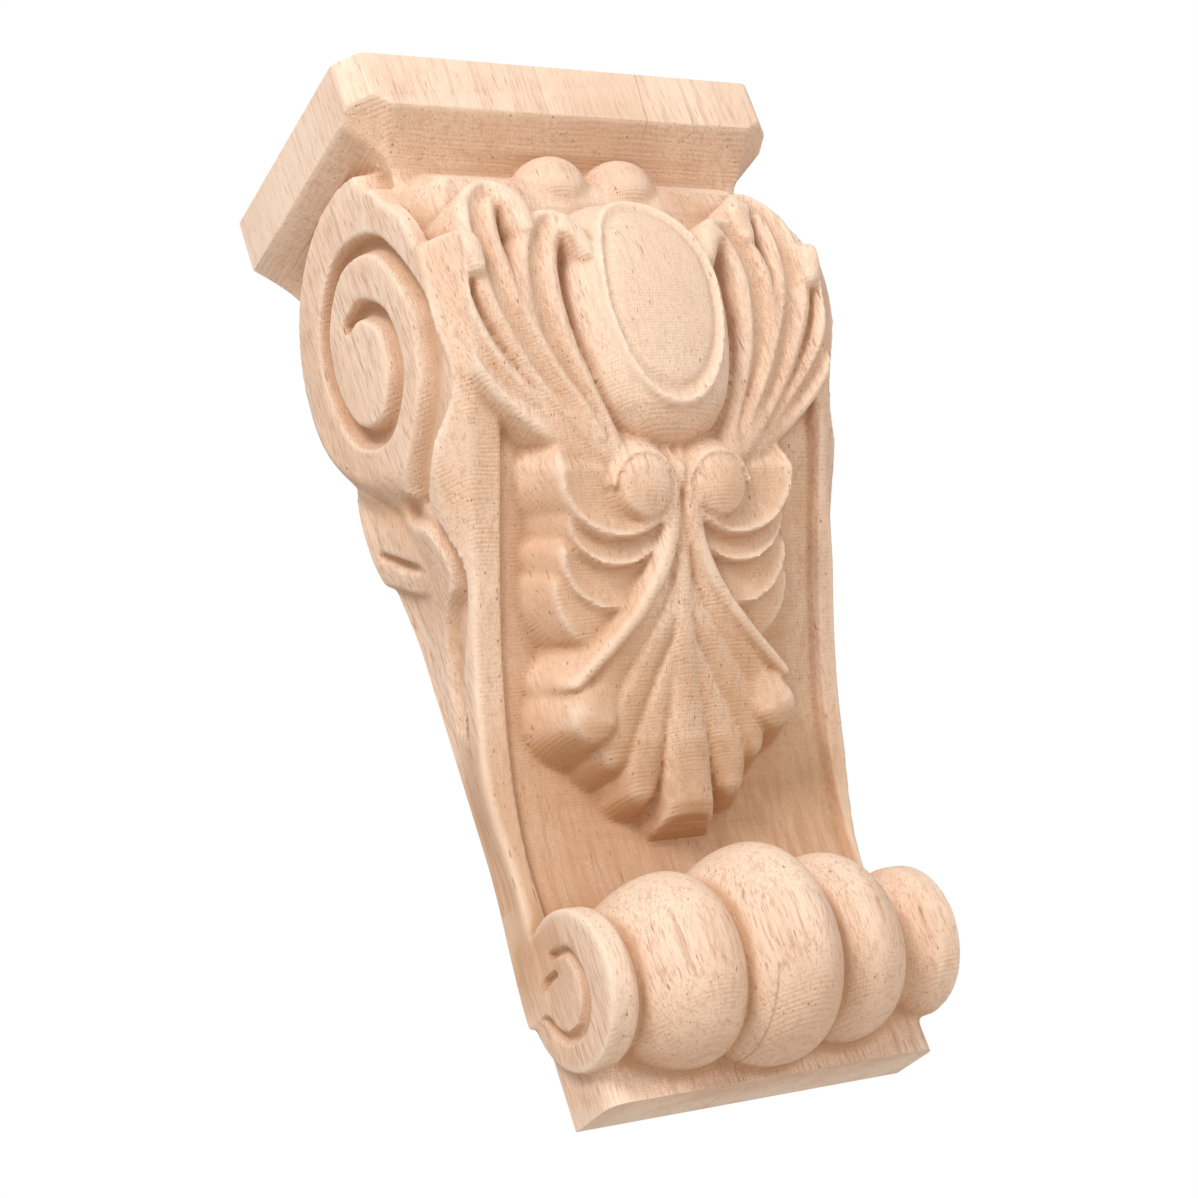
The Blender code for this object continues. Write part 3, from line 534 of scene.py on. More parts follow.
def wood(across, depth, height):
    """The whole block as one field, with its back, top and underside left long."""
    result = smooth_min(body(across, depth, height), roll(across, depth, height), 1.2)
    for form, fillet in ((foot, 1.2), (cap, 0.8), (curls, 0.8)):
        result = smooth_min(result, form(np.abs(across), depth, height), fillet)
    beyond = np.maximum(-SAW_MARGIN - depth, np.maximum(height - HEIGHT, -height) - SAW_MARGIN)
    return np.maximum(result, beyond)


def settle(field, grid):
    """Fill every grid square and cell where the wood would touch itself at a point."""
    for _ in range(20):
        inside = field < 0.0
        pinched = np.zeros(field.shape, bool)
        for axis in range(3):
            plane = np.moveaxis(inside, axis, 0)
            mark = np.moveaxis(pinched, axis, 0)
            near, far = plane[:, :-1, :-1], plane[:, 1:, 1:]
            left, right = plane[:, 1:, :-1], plane[:, :-1, 1:]
            crossed = (near & far & ~left & ~right) | (left & right & ~near & ~far)
            mark[:, :-1, :-1] |= crossed
            mark[:, 1:, 1:] |= crossed
            mark[:, 1:, :-1] |= crossed
            mark[:, :-1, 1:] |= crossed
        corners = [(i, j, k) for i in (0, 1) for j in (0, 1) for k in (0, 1)]
        ends = [tuple(slice(c, n - 1 + c) for c, n in zip(corner, field.shape)) for corner in corners]
        total = sum(inside[end].astype(int) for end in ends)
        for first, second in zip(ends[:4], ends[:3:-1]):
            alone = (total == 2) & inside[first] & inside[second]
            alone |= (total == 6) & ~inside[first] & ~inside[second]
            for end in ends:
                pinched[end] |= alone
        pinched &= ~inside
        if not pinched.any():
            break
        field[pinched] = -grid / 4.0
    return field


def skin(field, axes):
    """Quads around the zero level of a field: one vertex for each cell it crosses."""
    inside = field < 0.0
    cells = tuple(n - 1 for n in field.shape)
    total = np.zeros(cells + (3,))
    count = np.zeros(cells)
    crossings = []
    for axis in range(3):
        low = [slice(None)] * 3
        high = [slice(None)] * 3
        low[axis] = slice(None, -1)
        high[axis] = slice(1, None)
        low, high = tuple(low), tuple(high)
        crossed = inside[low] != inside[high]
        at = np.argwhere(crossed)
        first = field[low][crossed]
        share = first / (first - field[high][crossed])
        point = np.stack([axes[k][at[:, k]] for k in range(3)], 1)
        point[:, axis] += share * (axes[axis][1] - axes[axis][0])
        others = [k for k in range(3) if k != axis]
        ring = []
        for shift in ((0, 0), (1, 0), (1, 1), (0, 1)):
            cell = at.copy()
            cell[:, others] -= shift
            ring.append(tuple(cell.T))
            np.add.at(total, ring[-1], point)
            np.add.at(count, ring[-1], 1.0)
        starts_inside = inside[low][crossed]
        crossings.append((ring, starts_inside if axis == 1 else ~starts_inside))
    used = count > 0
    index = np.full(cells, -1)
    index[used] = np.arange(used.sum())
    vertices = total[used] / count[used][:, None]
    faces = []
    for ring, turned in crossings:
        quad = np.stack([index[cell] for cell in ring], 1)
        quad[turned] = quad[turned][:, ::-1]
        faces.append(quad)
    return vertices, np.vstack(faces)


def saw(mesh, place, normal):
    """Cut a face off true and close it."""
    geometry = mesh.verts[:] + mesh.edges[:] + mesh.faces[:]
    bmesh.ops.bisect_plane(mesh, geom=geometry, plane_co=place, plane_no=normal, dist=1e-7,
                           clear_outer=True)
    rim = [edge for edge in mesh.edges if edge.is_boundary]
    bmesh.ops.holes_fill(mesh, edges=rim, sides=0)


def keep_block(sculpt):
    """Delete the pockets of a cell or two that the grid leaves in deep carving."""
    left = set(sculpt.verts)
    bodies = []
    while left:
        reached = {left.pop()}
        edge = set(reached)
        while edge:
            edge = {link.other_vert(vert) for vert in edge for link in vert.link_edges} - reached
            reached |= edge
        left -= reached
        bodies.append(reached)
    bodies.sort(key=len)
    bmesh.ops.delete(sculpt, geom=[vert for body_verts in bodies[:-1] for vert in body_verts])


def blurred(field, cells):
    """A field averaged over a box of cells each way, three times over."""
    for _ in range(3):
        for axis in range(3):
            pad = [(cells + 1, cells) if k == axis else (0, 0) for k in range(3)]
            total = np.cumsum(np.pad(field, pad, mode="edge"), axis=axis)
            last = [slice(None)] * 3
            first = [slice(None)] * 3
            last[axis] = slice(2 * cells + 1, None)
            first[axis] = slice(None, -2 * cells - 1)
            field = (total[tuple(last)] - total[tuple(first)]) / (2 * cells + 1)
    return field


def read_grid(field, axes, points):
    """Value of a grid field at each point, from the eight places around it."""
    low = []
    share = []
    for k in range(3):
        place = (points[:, k] - axes[k][0]) / (axes[k][1] - axes[k][0])
        cell = np.clip(place.astype(int), 0, len(axes[k]) - 2)
        low.append(cell)
        share.append(np.clip(place - cell, 0.0, 1.0))
    value = np.zeros(len(points))
    for corner in range(8):
        index = []
        weight = np.ones(len(points))
        for k in range(3):
            up = corner >> k & 1
            index.append(low[k] + up)
            weight = weight * (share[k] if up else 1.0 - share[k])
        value += weight * field[tuple(index)]
    return value


def carved_mesh(grid, triangles):
    """Skin of the whole block, sawn flat, with how deep each point sits in a hollow."""
    half = CAP_WIDTH / 2.0 + 2.0 * grid
    places = np.arange(-round(half / grid) - 1, round(half / grid) + 2) * grid + grid / 2.0
    depths = np.arange(-SAW_MARGIN - 2.0 * grid, 2.0 * SCROLL_RADIUS + 8.0, grid)
    heights = np.arange(-SAW_MARGIN - 2.0 * grid, HEIGHT + SAW_MARGIN + 3.0 * grid, grid)
    axes = (places, depths, heights)
    across, depth, height = np.meshgrid(*axes, indexing="ij")
    field = settle(wood(across, depth, height), grid)
    vertices, quads = skin(field, axes)
    solid = np.clip(0.5 - field / grid, 0.0, 1.0)
    near = read_grid(blurred(solid, max(1, round(CREVICE_REACH / grid))), axes, vertices)
    wide = read_grid(blurred(solid, max(2, round(HOLLOW_REACH / grid))), axes, vertices)
    vertices[:, 1] *= -1.0
    vertices[:, 2] -= MOUNT_HEIGHT
    rough = bpy.data.meshes.new("rough_skin")
    rough.from_pydata((vertices * MM).tolist(), [], quads[:, ::-1].tolist())
    rough.attributes.new("crevice", "FLOAT", "POINT").data.foreach_set("value", near - 0.5)
    rough.attributes.new("hollow", "FLOAT", "POINT").data.foreach_set("value", wide - 0.5)
    piece = bpy.data.objects.new("rough_skin", rough)
    bpy.context.scene.collection.objects.link(piece)
    thin = piece.modifiers.new("thin", "DECIMATE")
    thin.ratio = min(1.0, triangles / (2.0 * len(quads)))
    sculpt = bmesh.new()
    sculpt.from_object(piece, bpy.context.evaluated_depsgraph_get())
    bpy.data.objects.remove(piece, do_unlink=True)
    keep_block(sculpt)
    saw(sculpt, (0.0, 0.0, 0.0), (0.0, 1.0, 0.0))
    saw(sculpt, (0.0, 0.0, (HEIGHT - MOUNT_HEIGHT) * MM), (0.0, 0.0, 1.0))
    saw(sculpt, (0.0, 0.0, -MOUNT_HEIGHT * MM), (0.0, 0.0, -1.0))
    bmesh.ops.triangulate(sculpt, faces=sculpt.faces[:])
    bmesh.ops.recalc_face_normals(sculpt, faces=sculpt.faces[:])
    low, high = (Vector(corner) for corner in CAD_BOX)
    for vert in sculpt.verts:
        vert.co = [min(max(vert.co[k], low[k]), high[k]) for k in range(3)]
    mesh = bpy.data.meshes.new("corbel_wood")
    sculpt.to_mesh(mesh)
    sculpt.free()
    mesh.shade_smooth()
    mesh.set_sharp_from_angle(angle=np.radians(SHARP_ANGLE))
    return mesh


def link(tree, start, end):
    """Join an output to an input, each given as a node and a name or number."""
    tree.links.new(start[0].outputs[start[1]], end[0].inputs[end[1]])


def node(tree, kind, **values):
    """New node with its settings, and its inputs given by name through a dict."""
    made = tree.nodes.new(kind)
    for name, value in values.pop("inputs", {}).items():
        made.inputs[name].default_value = value
    for name, value in values.items():
        setattr(made, name, value)
    return made


def math_node(tree, operation, first, second=None, third=None, clamp=False):
    """Math node on outputs or plain numbers, giving back its output."""
    made = node(tree, "ShaderNodeMath", operation=operation, use_clamp=clamp)
    for i, value in enumerate((first, second, third)):
        if isinstance(value, (int, float)):
            made.inputs[i].default_value = value
        elif value is not None:
            tree.links.new(value, made.inputs[i])
    return made.outputs[0]


def ramp(tree, value, start, end):
    """Smooth rise from 0 to 1 as a value goes from start to end."""
    made = node(tree, "ShaderNodeMapRange", interpolation_type="SMOOTHSTEP")
    made.inputs["From Min"].default_value = start
    made.inputs["From Max"].default_value = end
    tree.links.new(value, made.inputs["Value"])
    return made.outputs["Result"]


def mixed(tree, share, first, second):
    """Colour mix by a share, of colours or outputs."""
    made = node(tree, "ShaderNodeMix", data_type="RGBA")
    tree.links.new(share, made.inputs[0])
    for socket, value in ((6, first), (7, second)):
        if isinstance(value, bpy.types.NodeSocket):
            tree.links.new(value, made.inputs[socket])
        else:
            made.inputs[socket].default_value = (*value[:3], 1.0)
    return made.outputs[2]


def stretched(tree, coords, scale, shift=(0.0, 0.0, 0.0)):
    """Coordinates stretched by a scale per millimetre, then shifted."""
    made = node(tree, "ShaderNodeMapping", inputs={"Scale": [s / MM for s in scale],
                                                   "Location": shift})
    tree.links.new(coords, made.inputs["Vector"])
    return made.outputs["Vector"]


def noise(tree, coords, scale, detail, rough=0.5, distort=0.0, shift=(0.0, 0.0, 0.0)):
    """Noise value on stretched coordinates."""
    made = node(tree, "ShaderNodeTexNoise", inputs={"Scale": 1.0, "Detail": detail,
                "Roughness": rough, "Distortion": distort})
    tree.links.new(stretched(tree, coords, scale, shift), made.inputs["Vector"])
    return made.outputs["Fac"]


def product(tree, *shares):
    """Outputs and plain numbers multiplied together."""
    total = shares[0]
    for share in shares[1:]:
        total = math_node(tree, "MULTIPLY", total, share)
    return total


def raised(tree, value, share, least):
    """A value times a share, on top of a least amount."""
    return math_node(tree, "MULTIPLY_ADD", value, share, least)


def zone(tree, *edges):
    """Mask from smooth edges, each as (value, where it is 0, where it is 1) in millimetres."""
    return product(tree, *(ramp(tree, value, start * MM, end * MM) for value, start, end in edges))


def tint(tree, tone, second, *shares):
    """A tone mixed towards a second one by the product of some shares."""
    return mixed(tree, product(tree, *shares), tone, second)


def pores(tree, coords, spacing, length, size, keep, seed):
    """Wood vessels: long slim cells along the grain, dashes on one face and dots on another."""
    cells = node(tree, "ShaderNodeTexVoronoi", inputs={"Scale": 1.0, "Randomness": 1.0})
    place = stretched(tree, coords, (1.0 / spacing, 1.0 / spacing, 1.0 / length),
                      shift=(seed, seed * 1.7, seed * 2.3))
    tree.links.new(place, cells.inputs["Vector"])
    split = node(tree, "ShaderNodeSeparateColor")
    tree.links.new(cells.outputs["Color"], split.inputs[0])
    gap = math_node(tree, "SUBTRACT", product(tree, split.outputs[0], size), cells.outputs["Distance"])
    chosen = math_node(tree, "GREATER_THAN", split.outputs[1], 1.0 - keep)
    return product(tree, ramp(tree, gap, -0.03, 0.05), chosen)


# Lines where the boards are glued, as (place across, lean, lowest height, highest height)
GLUE_LINES = ((8.8, 0.1, 186.0, 200.0), (5.4, 0.0, 0.8, 42.0), (-4.0, 0.05, 0.0, 14.0))
GLUE_HALF_WIDTH = 0.26
GLUE_CORE = 0.08

# Edges of the zones of painted shade and light, in millimetres from the origin: where a zone starts and
# where it is full
CAP_UNDERSIDE = (66.0, 60.0)
SWEEP_TOP = (-28.0, -52.0)
SWEEP_END = (-92.0, -78.0)
SWEEP_DEPTH = (-24.0, -13.0)
EGG_SIDE = (17.5, 13.0)
EGG_FOOT = (6.0, 18.0)
LOBES_INNER = (4.0, 12.0)
LOBES_OUTER = (36.0, 30.0)
LOBES_TOP = (4.0, -6.0)
LOBES_FOOT = (-52.0, -40.0)
SIDE_FACE = (36.5, 39.5)
TIPS_TOP = (-20.0, -40.0)
TIPS_FOOT = (-72.0, -62.0)


def surface_masks(tree):
    """Coordinates, noises and masks that the tone and the relief share."""
    coords = node(tree, "ShaderNodeTexCoord")
    place = coords.outputs["Object"]
    parts = []
    for name in ("Normal", "Object"):
        split = node(tree, "ShaderNodeSeparateXYZ")
        link(tree, (coords, name), (split, 0))
        parts.append(split.outputs)
    facing, axes = parts
    crevice, hollow = (node(tree, "ShaderNodeAttribute", attribute_name=name).outputs["Fac"]
                       for name in ("crevice", "hollow"))
    mottle = noise(tree, place, (0.16, 0.16, 0.1), 3.0, shift=(9.0, 1.0, 3.0))
    return SimpleNamespace(
        place=place, facing=facing, axes=axes, hollow=hollow, mottle=mottle,
        figure=noise(tree, place, (0.05, 0.05, 0.012), 3.0, 0.55, 0.4),
        streak=noise(tree, place, (0.7, 0.7, 0.03), 4.0, 0.65),
        fine=noise(tree, place, (2.6, 2.6, 0.24), 3.0, 0.6),
        fuzz=noise(tree, place, (1.9, 1.9, 1.9), 2.0, 0.7),
        front=ramp(tree, math_node(tree, "ABSOLUTE", facing["X"]), 0.85, 0.5),
        off_middle=math_node(tree, "ABSOLUTE", axes["X"]),
        blotch=ramp(tree, mottle, 0.35, 0.65),
        # Masks for painted shade and light: faces that point down or up, deep hollows, tight crevices
        # and exposed crests.
        under=ramp(tree, facing["Z"], 0.0, -0.8),
        top=ramp(tree, facing["Z"], 0.1, 0.8),
        deep=ramp(tree, hollow, 0.02, 0.24),
        tight=ramp(tree, crevice, 0.015, 0.2),
        painted_highlight=ramp(tree, crevice, -0.03, -0.2))


def carved_tone(tree, masks, finish):
    """Tone of the wood by its grain, with painted shade and painted highlights by how deep and which
    way it is carved.
    """
    up = masks.axes["Z"]
    off = masks.off_middle
    blotch = masks.blotch
    tone = mixed(tree, ramp(tree, masks.figure, 0.36, 0.66), finish.light, finish.warm)
    tone = tint(tree, tone, finish.streak, ramp(tree, masks.streak, 0.5, 0.66), 0.8)
    tone = tint(tree, tone, finish.pore, ramp(tree, masks.fine, 0.46, 0.72),
                raised(tree, masks.front, -0.12, 0.6))
    # Painted shade on faces that point down, which also show end grain: they are darkened with the
    # underside tone.
    tone = tint(tree, tone, finish.under, masks.under, 0.4)
    # Painted shade in hollows: the deeper a point sits, the more it takes a pinkish shade tone high on
    # the carving and a brown one lower down, stronger towards the bottom and in random patches.
    hollow_shade_tone = mixed(tree, ramp(tree, up, -0.015, -0.045), finish.upper_hollow_shade, finish.hollow)
    lower = raised(tree, ramp(tree, up, -0.02, -0.06), 0.4, 0.12)
    tone = tint(tree, tone, hollow_shade_tone, masks.deep, raised(tree, blotch, 0.2, lower))
    # Painted shade: faces that point down inside hollows are darkened further with the hollow tone, in
    # random patches.
    tone = tint(tree, tone, finish.hollow, masks.under, ramp(tree, masks.hollow, -0.05, 0.12),
                raised(tree, blotch, 0.4, 0.2))
    # Painted shade on the hollow sweep above the roll: darkened with the hollow tone and streaked along
    # the grain with the crevice tone.
    sweep = zone(tree, (up, *SWEEP_TOP), (masks.axes["Y"], *SWEEP_DEPTH), (up, *SWEEP_END))
    tone = tint(tree, tone, finish.hollow, sweep, raised(tree, blotch, 0.25, 0.7))
    tone = tint(tree, tone, finish.crevice, sweep,
                raised(tree, ramp(tree, masks.streak, 0.42, 0.62), 0.28, 0.16))
    # Painted light: the egg and its cabochon are lightened with the highlight tone.
    egg_painted_light = zone(tree, (off, *EGG_SIDE), (up, *EGG_FOOT), (up, *CAP_UNDERSIDE))
    tone = tint(tree, tone, finish.painted_highlight, egg_painted_light, 0.5)
    # Painted shade: the lobes under the eye are darkened with the hollow tone, in random patches.
    lobes_painted_shade = zone(tree, (off, *LOBES_INNER), (off, *LOBES_OUTER), (up, *LOBES_TOP),
                      (up, *LOBES_FOOT))
    tone = tint(tree, tone, finish.hollow, lobes_painted_shade, raised(tree, blotch, 0.25, 0.42))
    # Painted shade: hollows on the side faces below the cap are darkened with the hollow tone.
    side_wall_painted_shade = zone(tree, (off, *SIDE_FACE), (up, *CAP_UNDERSIDE))
    tone = tint(tree, tone, finish.hollow, side_wall_painted_shade, ramp(tree, masks.hollow, -0.03, 0.08), 0.6)
    # Painted shade under the leaf tips: faces that point down in this band are darkened strongly, over
    # their end grain.
    tips = zone(tree, (up, *TIPS_FOOT), (up, *TIPS_TOP))
    tone = tint(tree, tone, finish.tips, tips, ramp(tree, masks.facing["Z"], -0.35, -0.7), 0.8)
    # Painted shade: tight crevices are darkened with the crevice tone.
    tone = tint(tree, tone, finish.crevice, masks.tight, 0.6)
    # Painted highlight: exposed crests and faces that point up are lightened.
    tone = tint(tree, tone, finish.painted_highlight, masks.painted_highlight, 0.5)
    return tint(tree, tone, finish.painted_highlight, masks.top, 0.35)


def glue_lines(tree, axes):
    """Mask of the thin lines where the boards of the block are glued."""
    line = 0.0
    for start, lean, low, high in GLUE_LINES:
        middle = raised(tree, axes["Z"], lean, start * MM)
        gap = math_node(tree, "ABSOLUTE", math_node(tree, "SUBTRACT", axes["X"], middle))
        height = math_node(tree, "SUBTRACT", axes["Z"], (low - MOUNT_HEIGHT) * MM)
        half = 0.5 * (high - low) * MM
        mark = product(tree, zone(tree, (gap, GLUE_HALF_WIDTH, GLUE_CORE)),
                       math_node(tree, "COMPARE", height, half, half))
        line = math_node(tree, "MAXIMUM", mark, line)
    return line


def cutter_ridges(tree, masks, pitch):
    """Level ridges that the cutter leaves on undersides and in tight crevices."""
    wobble = noise(tree, masks.place, (0.09, 0.09, 0.09), 1.0)
    level = raised(tree, wobble, 1.2 * MM, masks.axes["Z"])
    ridge = raised(tree, math_node(tree, "SINE", product(tree, level, 2.0 * np.pi / pitch)), 0.5, 0.5)
    cut = product(tree, ramp(tree, masks.facing["Z"], -0.25, -0.6), ramp(tree, masks.mottle, 0.38, 0.6))
    return product(tree, ridge, math_node(tree, "MAXIMUM", cut, product(tree, masks.tight, 0.8)))


def sanding_weave(tree, masks, pitch):
    """Crossed sanding marks on the front, fading out on full crests."""
    threads = [math_node(tree, "SINE", product(tree, masks.axes[axis], 2.0 * np.pi / pitch))
               for axis in ("X", "Z")]
    weave = raised(tree, math_node(tree, "ADD", *threads), 0.25, 0.5)
    return product(tree, weave, ramp(tree, masks.fuzz, 0.35, 0.6), masks.front,
                   ramp(tree, masks.hollow, -0.16, 0.0))


def wood_material(finish):
    """Bare sanded hardwood with pores, glue lines and tool ridges, with painted shade in its hollows
    and painted highlights on its crests.
    """
    material = bpy.data.materials.new("bare_wood_finish")
    material.use_nodes = True
    tree = material.node_tree
    shader = tree.nodes["Principled BSDF"]
    masks = surface_masks(tree)
    line = glue_lines(tree, masks.axes)
    pore = math_node(tree, "MAXIMUM", pores(tree, masks.place, 0.6, 9.0, 0.21, 0.42, 3.0),
                     pores(tree, masks.place, 1.4, 13.0, 0.16, 0.6, 8.0))
    ends = ramp(tree, math_node(tree, "ABSOLUTE", masks.facing["Z"]), 0.15, 0.7)
    ridges = cutter_ridges(tree, masks, finish.ridge_pitch)
    weave = sanding_weave(tree, masks, finish.weave_pitch)

    tone = carved_tone(tree, masks, finish)
    tone = tint(tree, tone, finish.pore, line, 0.4)
    tone = tint(tree, tone, finish.pore, pore, raised(tree, ends, 0.3, finish.pore_strength))
    tone = tint(tree, tone, finish.crevice, ridges, 0.2)
    tone = tint(tree, tone, finish.crevice, weave, 0.4)
    tree.links.new(tone, shader.inputs["Base Color"])

    relief = raised(tree, ridges, 0.36, product(tree, weave, -0.45))
    for mark, height in ((pore, -0.6), (masks.fine, 0.5), (masks.fuzz, 0.5), (line, -0.3)):
        relief = raised(tree, mark, height, relief)
    bump = node(tree, "ShaderNodeBump", inputs={"Strength": 1.0, "Distance": 0.14 * MM})
    tree.links.new(relief, bump.inputs["Height"])
    link(tree, (bump, 0), (shader, "Normal"))
    sheen = raised(tree, masks.streak, 0.16, 0.52)
    tree.links.new(raised(tree, masks.tight, 0.2, sheen), shader.inputs["Roughness"])
    shader.inputs["Specular IOR Level"].default_value = 0.3
    material.diffuse_color = (*finish.light, 1.0)
    return material


def sanding_tree(material):
    """Geometry nodes that wear the carved surface unevenly along its own normals."""
    tree = bpy.data.node_groups.new("hand_sanding", "GeometryNodeTree")
    face = tree.interface
    face.new_socket("Geometry", in_out="INPUT", socket_type="NodeSocketGeometry")
    depth = face.new_socket("Sanding Depth", in_out="INPUT", socket_type="NodeSocketFloat")
    size = face.new_socket("Sanding Scale", in_out="INPUT", socket_type="NodeSocketFloat")
    seed = face.new_socket("Seed", in_out="INPUT", socket_type="NodeSocketFloat")
    face.new_socket("Geometry", in_out="OUTPUT", socket_type="NodeSocketGeometry")
    start = node(tree, "NodeGroupInput")
    end = node(tree, "NodeGroupOutput")
    grain = node(tree, "ShaderNodeTexNoise", noise_dimensions="4D", inputs={"Detail": 1.0})
    link(tree, (start, "Sanding Scale"), (grain, "Scale"))
    link(tree, (start, "Seed"), (grain, "W"))
    normal = node(tree, "GeometryNodeInputNormal")
    carved = node(tree, "GeometryNodeInputNamedAttribute", data_type="FLOAT",
                  inputs={"Name": "carved"})
    inward = product(tree, grain.outputs["Fac"], start.outputs["Sanding Depth"],
                     carved.outputs["Attribute"], -1.0)
    offset = node(tree, "ShaderNodeVectorMath", operation="SCALE")
    link(tree, (normal, "Normal"), (offset, 0))
    tree.links.new(inward, offset.inputs["Scale"])
    move = node(tree, "GeometryNodeSetPosition")
    link(tree, (start, "Geometry"), (move, "Geometry"))
    link(tree, (offset, "Vector"), (move, "Offset"))
    real = node(tree, "GeometryNodeRealizeInstances")
    link(tree, (move, "Geometry"), (real, "Geometry"))
    coat = node(tree, "GeometryNodeSetMaterial", inputs={"Material": material})
    link(tree, (real, "Geometry"), (coat, "Geometry"))
    link(tree, (coat, "Geometry"), (end, "Geometry"))
    return tree, {"depth": depth.identifier, "size": size.identifier, "seed": seed.identifier}


def mark_carved(mesh):
    """Store which points are carved: those off the sawn back, top and underside."""
    low, high = (Vector(corner) for corner in CAD_BOX)
    carved = mesh.attributes.new("carved", "FLOAT", "POINT")
    for vert, value in zip(mesh.vertices, carved.data):
        gap = min(-vert.co.y, high.z - vert.co.z, vert.co.z - low.z)
        value.value = min(1.0, max(0.0, gap / (2.0 * MM)))


class CorbelCarving(PropertyGroup):
    """How finely the block is carved."""

    grid: FloatProperty(name="Carving Step", description="Spacing of the carved points",
                        default=0.66 * MM, unit="LENGTH")
    triangles: IntProperty(name="Triangles", description="Most triangles in the skin",
                           default=190000, min=20000)
    sanding_depth: FloatProperty(name="Sanding Depth", description="How far sanding wears the wood",
                                 default=0.16 * MM, unit="LENGTH")
    sanding_scale: FloatProperty(name="Sanding Scale", description="Patches for each metre",
                                 default=110.0)
    seed: IntProperty(name="Seed", description="Pattern of the sanding", default=4)


def colour(name, description, value):
    """Colour property with a wood tone as its default."""
    return FloatVectorProperty(name=name, description=description, default=value, size=3,
                               subtype="COLOR", min=0.0, max=1.0)


class CorbelTonesAndShade(PropertyGroup):
    """Tones of the bare wood and of its painted shade and highlights, and marks of the cutter."""

    light: colour("Light Wood", "Main tone of the wood", (0.85, 0.625, 0.475))
    warm: colour("Warm Wood", "Tone of the warmer bands", (0.73, 0.485, 0.34))
    streak: colour("Streak", "Tone of the fine streaks along the grain", (0.61, 0.39, 0.275))
    # Painted shade tone for hollows in the upper carving.
    upper_hollow_shade: colour("Blush", "Tone of hollows in the upper carving", (0.80, 0.61, 0.52))
    # Painted shade tone for down-facing end grain under the leaf tips.
    tips: colour("Leaf Tips", "Tone of end grain under the leaf tips", (0.50, 0.27, 0.125))
    # Painted highlight tone for exposed crests, faces that point up and the egg.
    painted_highlight: colour("Crest", "Tone of sanded crests and upward faces", (0.88, 0.70, 0.555))
    # Painted shade tone for faces that point down, over their end grain.
    under: colour("Underside", "Tone of end grain that faces down", (0.69, 0.44, 0.28))
    # Painted shade tone for hollows, the sweep above the roll, the lobes and the side faces.
    hollow: colour("Hollow", "Tone of wide hollows", (0.635, 0.385, 0.235))
    # Painted shade tone for tight crevices, also the tone of the cutter's ridges and sanding marks.
    crevice: colour("Crevice", "Tone of tight crevices", (0.45, 0.235, 0.12))
    pore: colour("Pore", "Tone of the open pores", (0.36, 0.17, 0.085))
    pore_strength: FloatProperty(name="Pore Strength", description="How dark the pores are",
                                 default=0.6, min=0.0, max=1.0, subtype="FACTOR")
    ridge_pitch: FloatProperty(name="Ridge Pitch", description="Spacing of the cutter's ridges",
                               default=0.74 * MM, unit="LENGTH")
    weave_pitch: FloatProperty(name="Weave Pitch", description="Spacing of the sanding marks",
                               default=0.56 * MM, unit="LENGTH")


class CorbelStage(PropertyGroup):
    """Camera, floor and lights."""

    lens: FloatProperty(name="Lens", description="Focal length", default=76.25, unit="CAMERA")
    camera_place: FloatVectorProperty(name="Camera Place", description="Place of the camera",
                                      default=(-0.2750, -0.3863, -0.0974), unit="LENGTH")
    camera_turn: FloatVectorProperty(name="Camera Turn", description="Turn of the camera",
                                     default=[np.radians(a) for a in (114.41, 17.32, -28.343)],
                                     subtype="EULER")
    floor_drop: FloatProperty(name="Floor Drop", description="Floor below the foot's underside",
                              default=0.16, unit="LENGTH")
    key_power: FloatProperty(name="Key Power", description="Power of the large softbox",
                             default=9.4, unit="POWER")
    fill_power: FloatProperty(name="Fill Power", description="Power of the fill softbox",
                              default=2.6, unit="POWER")
    sky: FloatProperty(name="Sky", description="Strength of the pale surround", default=0.54)


class CORBEL_OT_carve(Operator):
    """Carve the bracket from one block and finish its surface"""

    bl_idname = "corbel.carve"
    bl_label = "Carve Bracket"

    def execute(self, context):
        scene = context.scene
        carving = scene.corbel_carving
        grid = carving.grid / MM
        mesh = carved_mesh(grid, carving.triangles)
        mark_carved(mesh)
        rough = bpy.data.objects.new("sanding_block", mesh)
        scene.collection.objects.link(rough)
        tree, sockets = sanding_tree(wood_material(scene.corbel_finish))
        sanding = rough.modifiers.new("hand_sanding", "NODES")
        sanding.node_group = tree
        sanding[sockets["depth"]] = float(carving.sanding_depth)
        sanding[sockets["size"]] = float(carving.sanding_scale)
        sanding[sockets["seed"]] = float(carving.seed)
        graph = context.evaluated_depsgraph_get()
        finished = bpy.data.meshes.new_from_object(rough.evaluated_get(graph))
        bpy.data.objects.remove(rough, do_unlink=True)
        if not finished.polygons:
            raise RuntimeError("the carved skin came out empty")
        finished.name = "corbel_wood"
        piece = bpy.data.objects.new("corbel_wood", finished)
        scene.collection.objects.link(piece)
        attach(piece, "root")
        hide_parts("corbel")
        return {"FINISHED"}


# Stage, in metres: softboxes as (place, size, tone), and the point that they look at
SOFTBOXES = {"key_light": ((-0.76, -0.75, 0.52), 0.4, (1.0, 0.99, 0.97)),
             "fill_light": ((0.35, -0.95, -0.12), 0.6, (1.0, 0.98, 0.95))}
LIGHT_AIM = (0.0, -0.03, 0.0)
FLOOR_HALF = 1.6
PAPER_TONE = (0.86, 0.85, 0.83, 1.0)


def add_softbox(scene, name, power, place, size, tone):
    """Square area light that looks at the middle of the bracket."""
    data = bpy.data.lights.new(name, "AREA")
    data.shape = "SQUARE"
    data.size = size
    data.energy = power
    data.color = tone
    lamp = bpy.data.objects.new(name, data)
    lamp.location = place
    lamp.rotation_euler = (Vector(LIGHT_AIM) - Vector(place)).to_track_quat("-Z", "Y").to_euler()
    scene.collection.objects.link(lamp)


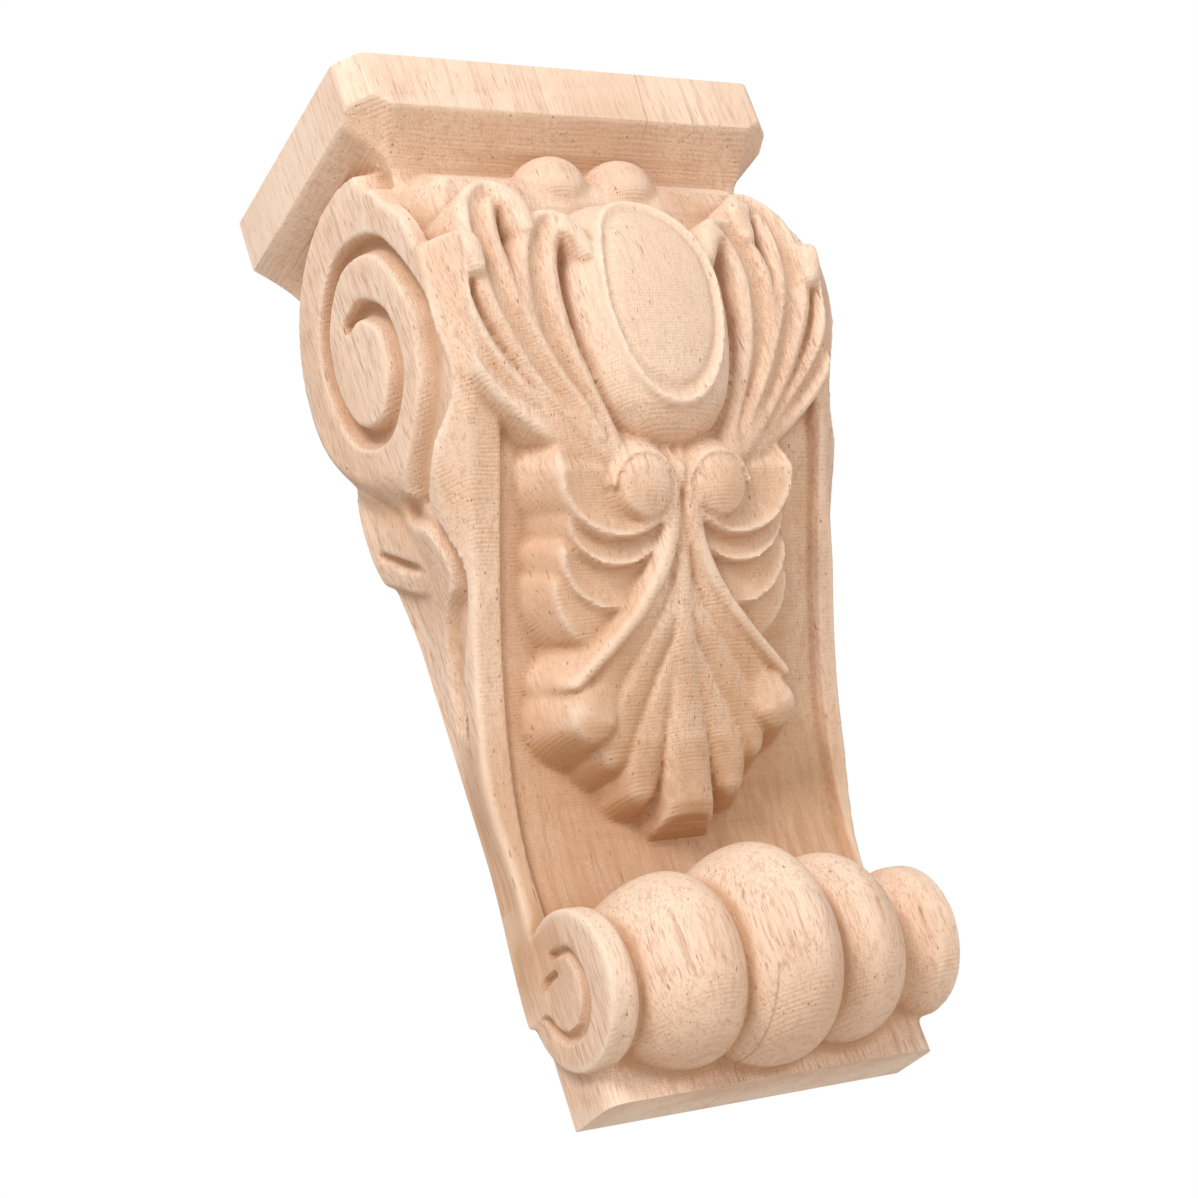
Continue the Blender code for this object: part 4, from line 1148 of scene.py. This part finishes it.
class CORBEL_OT_stage(Operator):
    """Set the floor, the soft light and the camera"""

    bl_idname = "corbel.stage"
    bl_label = "Set Stage"

    def execute(self, context):
        scene = context.scene
        stage = scene.corbel_stage
        low = CAD_BOX[0][2] - stage.floor_drop
        sheet = bmesh.new()
        bmesh.ops.create_grid(sheet, x_segments=8, y_segments=8, size=FLOOR_HALF)
        bmesh.ops.translate(sheet, vec=(0.0, 0.0, low), verts=sheet.verts)
        mesh = bpy.data.meshes.new("floor")
        sheet.to_mesh(mesh)
        sheet.free()
        paper = bpy.data.materials.new("pale_floor")
        paper.use_nodes = True
        shader = paper.node_tree.nodes["Principled BSDF"]
        shader.inputs["Base Color"].default_value = PAPER_TONE
        shader.inputs["Roughness"].default_value = 0.8
        mesh.materials.append(paper)
        floor = bpy.data.objects.new("floor", mesh)
        scene.collection.objects.link(floor)

        world = bpy.data.worlds.new("pale_surround")
        world.use_nodes = True
        tree = world.node_tree
        back = tree.nodes["Background"]
        seen = node(tree, "ShaderNodeLightPath")
        strength = node(tree, "ShaderNodeMapRange", inputs={"To Min": stage.sky, "To Max": 1.0})
        link(tree, (seen, "Is Camera Ray"), (strength, "Value"))
        link(tree, (strength, "Result"), (back, "Strength"))
        back.inputs["Color"].default_value = (1.0, 1.0, 1.0, 1.0)
        scene.world = world
        scene.view_settings.view_transform = "Standard"

        for name, power in (("key_light", stage.key_power), ("fill_light", stage.fill_power)):
            add_softbox(scene, name, power, *SOFTBOXES[name])

        data = bpy.data.cameras.new("camera")
        data.lens = stage.lens
        data.sensor_width = 36.0
        camera = bpy.data.objects.new("camera", data)
        camera.location = Vector(stage.camera_place) + Vector((0.0, 0.0, CAD_BOX[0][2]))
        camera.rotation_euler = Euler(stage.camera_turn)
        scene.collection.objects.link(camera)
        scene.camera = camera
        return {"FINISHED"}


class CORBEL_PT_panel(Panel):
    """Sidebar panel with the carving settings, tones and stage"""

    bl_idname = "CORBEL_PT_panel"
    bl_label = "Carved Corbel"
    bl_space_type = "VIEW_3D"
    bl_region_type = "UI"
    bl_category = "Corbel"

    def draw(self, context):
        scene = context.scene
        for group in (scene.corbel_carving, scene.corbel_finish, scene.corbel_stage):
            box = self.layout.box()
            for name in group.__annotations__:
                box.prop(group, name)
        self.layout.operator(CORBEL_OT_carve.bl_idname)
        self.layout.operator(CORBEL_OT_stage.bl_idname)


CLASSES = (CorbelCarving, CorbelTonesAndShade, CorbelStage, CORBEL_OT_carve, CORBEL_OT_stage,
           CORBEL_PT_panel)
GROUPS = {"corbel_carving": CorbelCarving, "corbel_finish": CorbelTonesAndShade,
          "corbel_stage": CorbelStage}


def register():
    for each in CLASSES:
        bpy.utils.register_class(each)
    for name, group in GROUPS.items():
        setattr(bpy.types.Scene, name, PointerProperty(type=group))


def unregister():
    for name in GROUPS:
        delattr(bpy.types.Scene, name)
    for each in reversed(CLASSES):
        bpy.utils.unregister_class(each)


def main():
    register()
    bpy.ops.corbel.stage()
    bpy.ops.corbel.carve()
    bpy.context.view_layer.update()


if __name__ == "__main__":
    main()
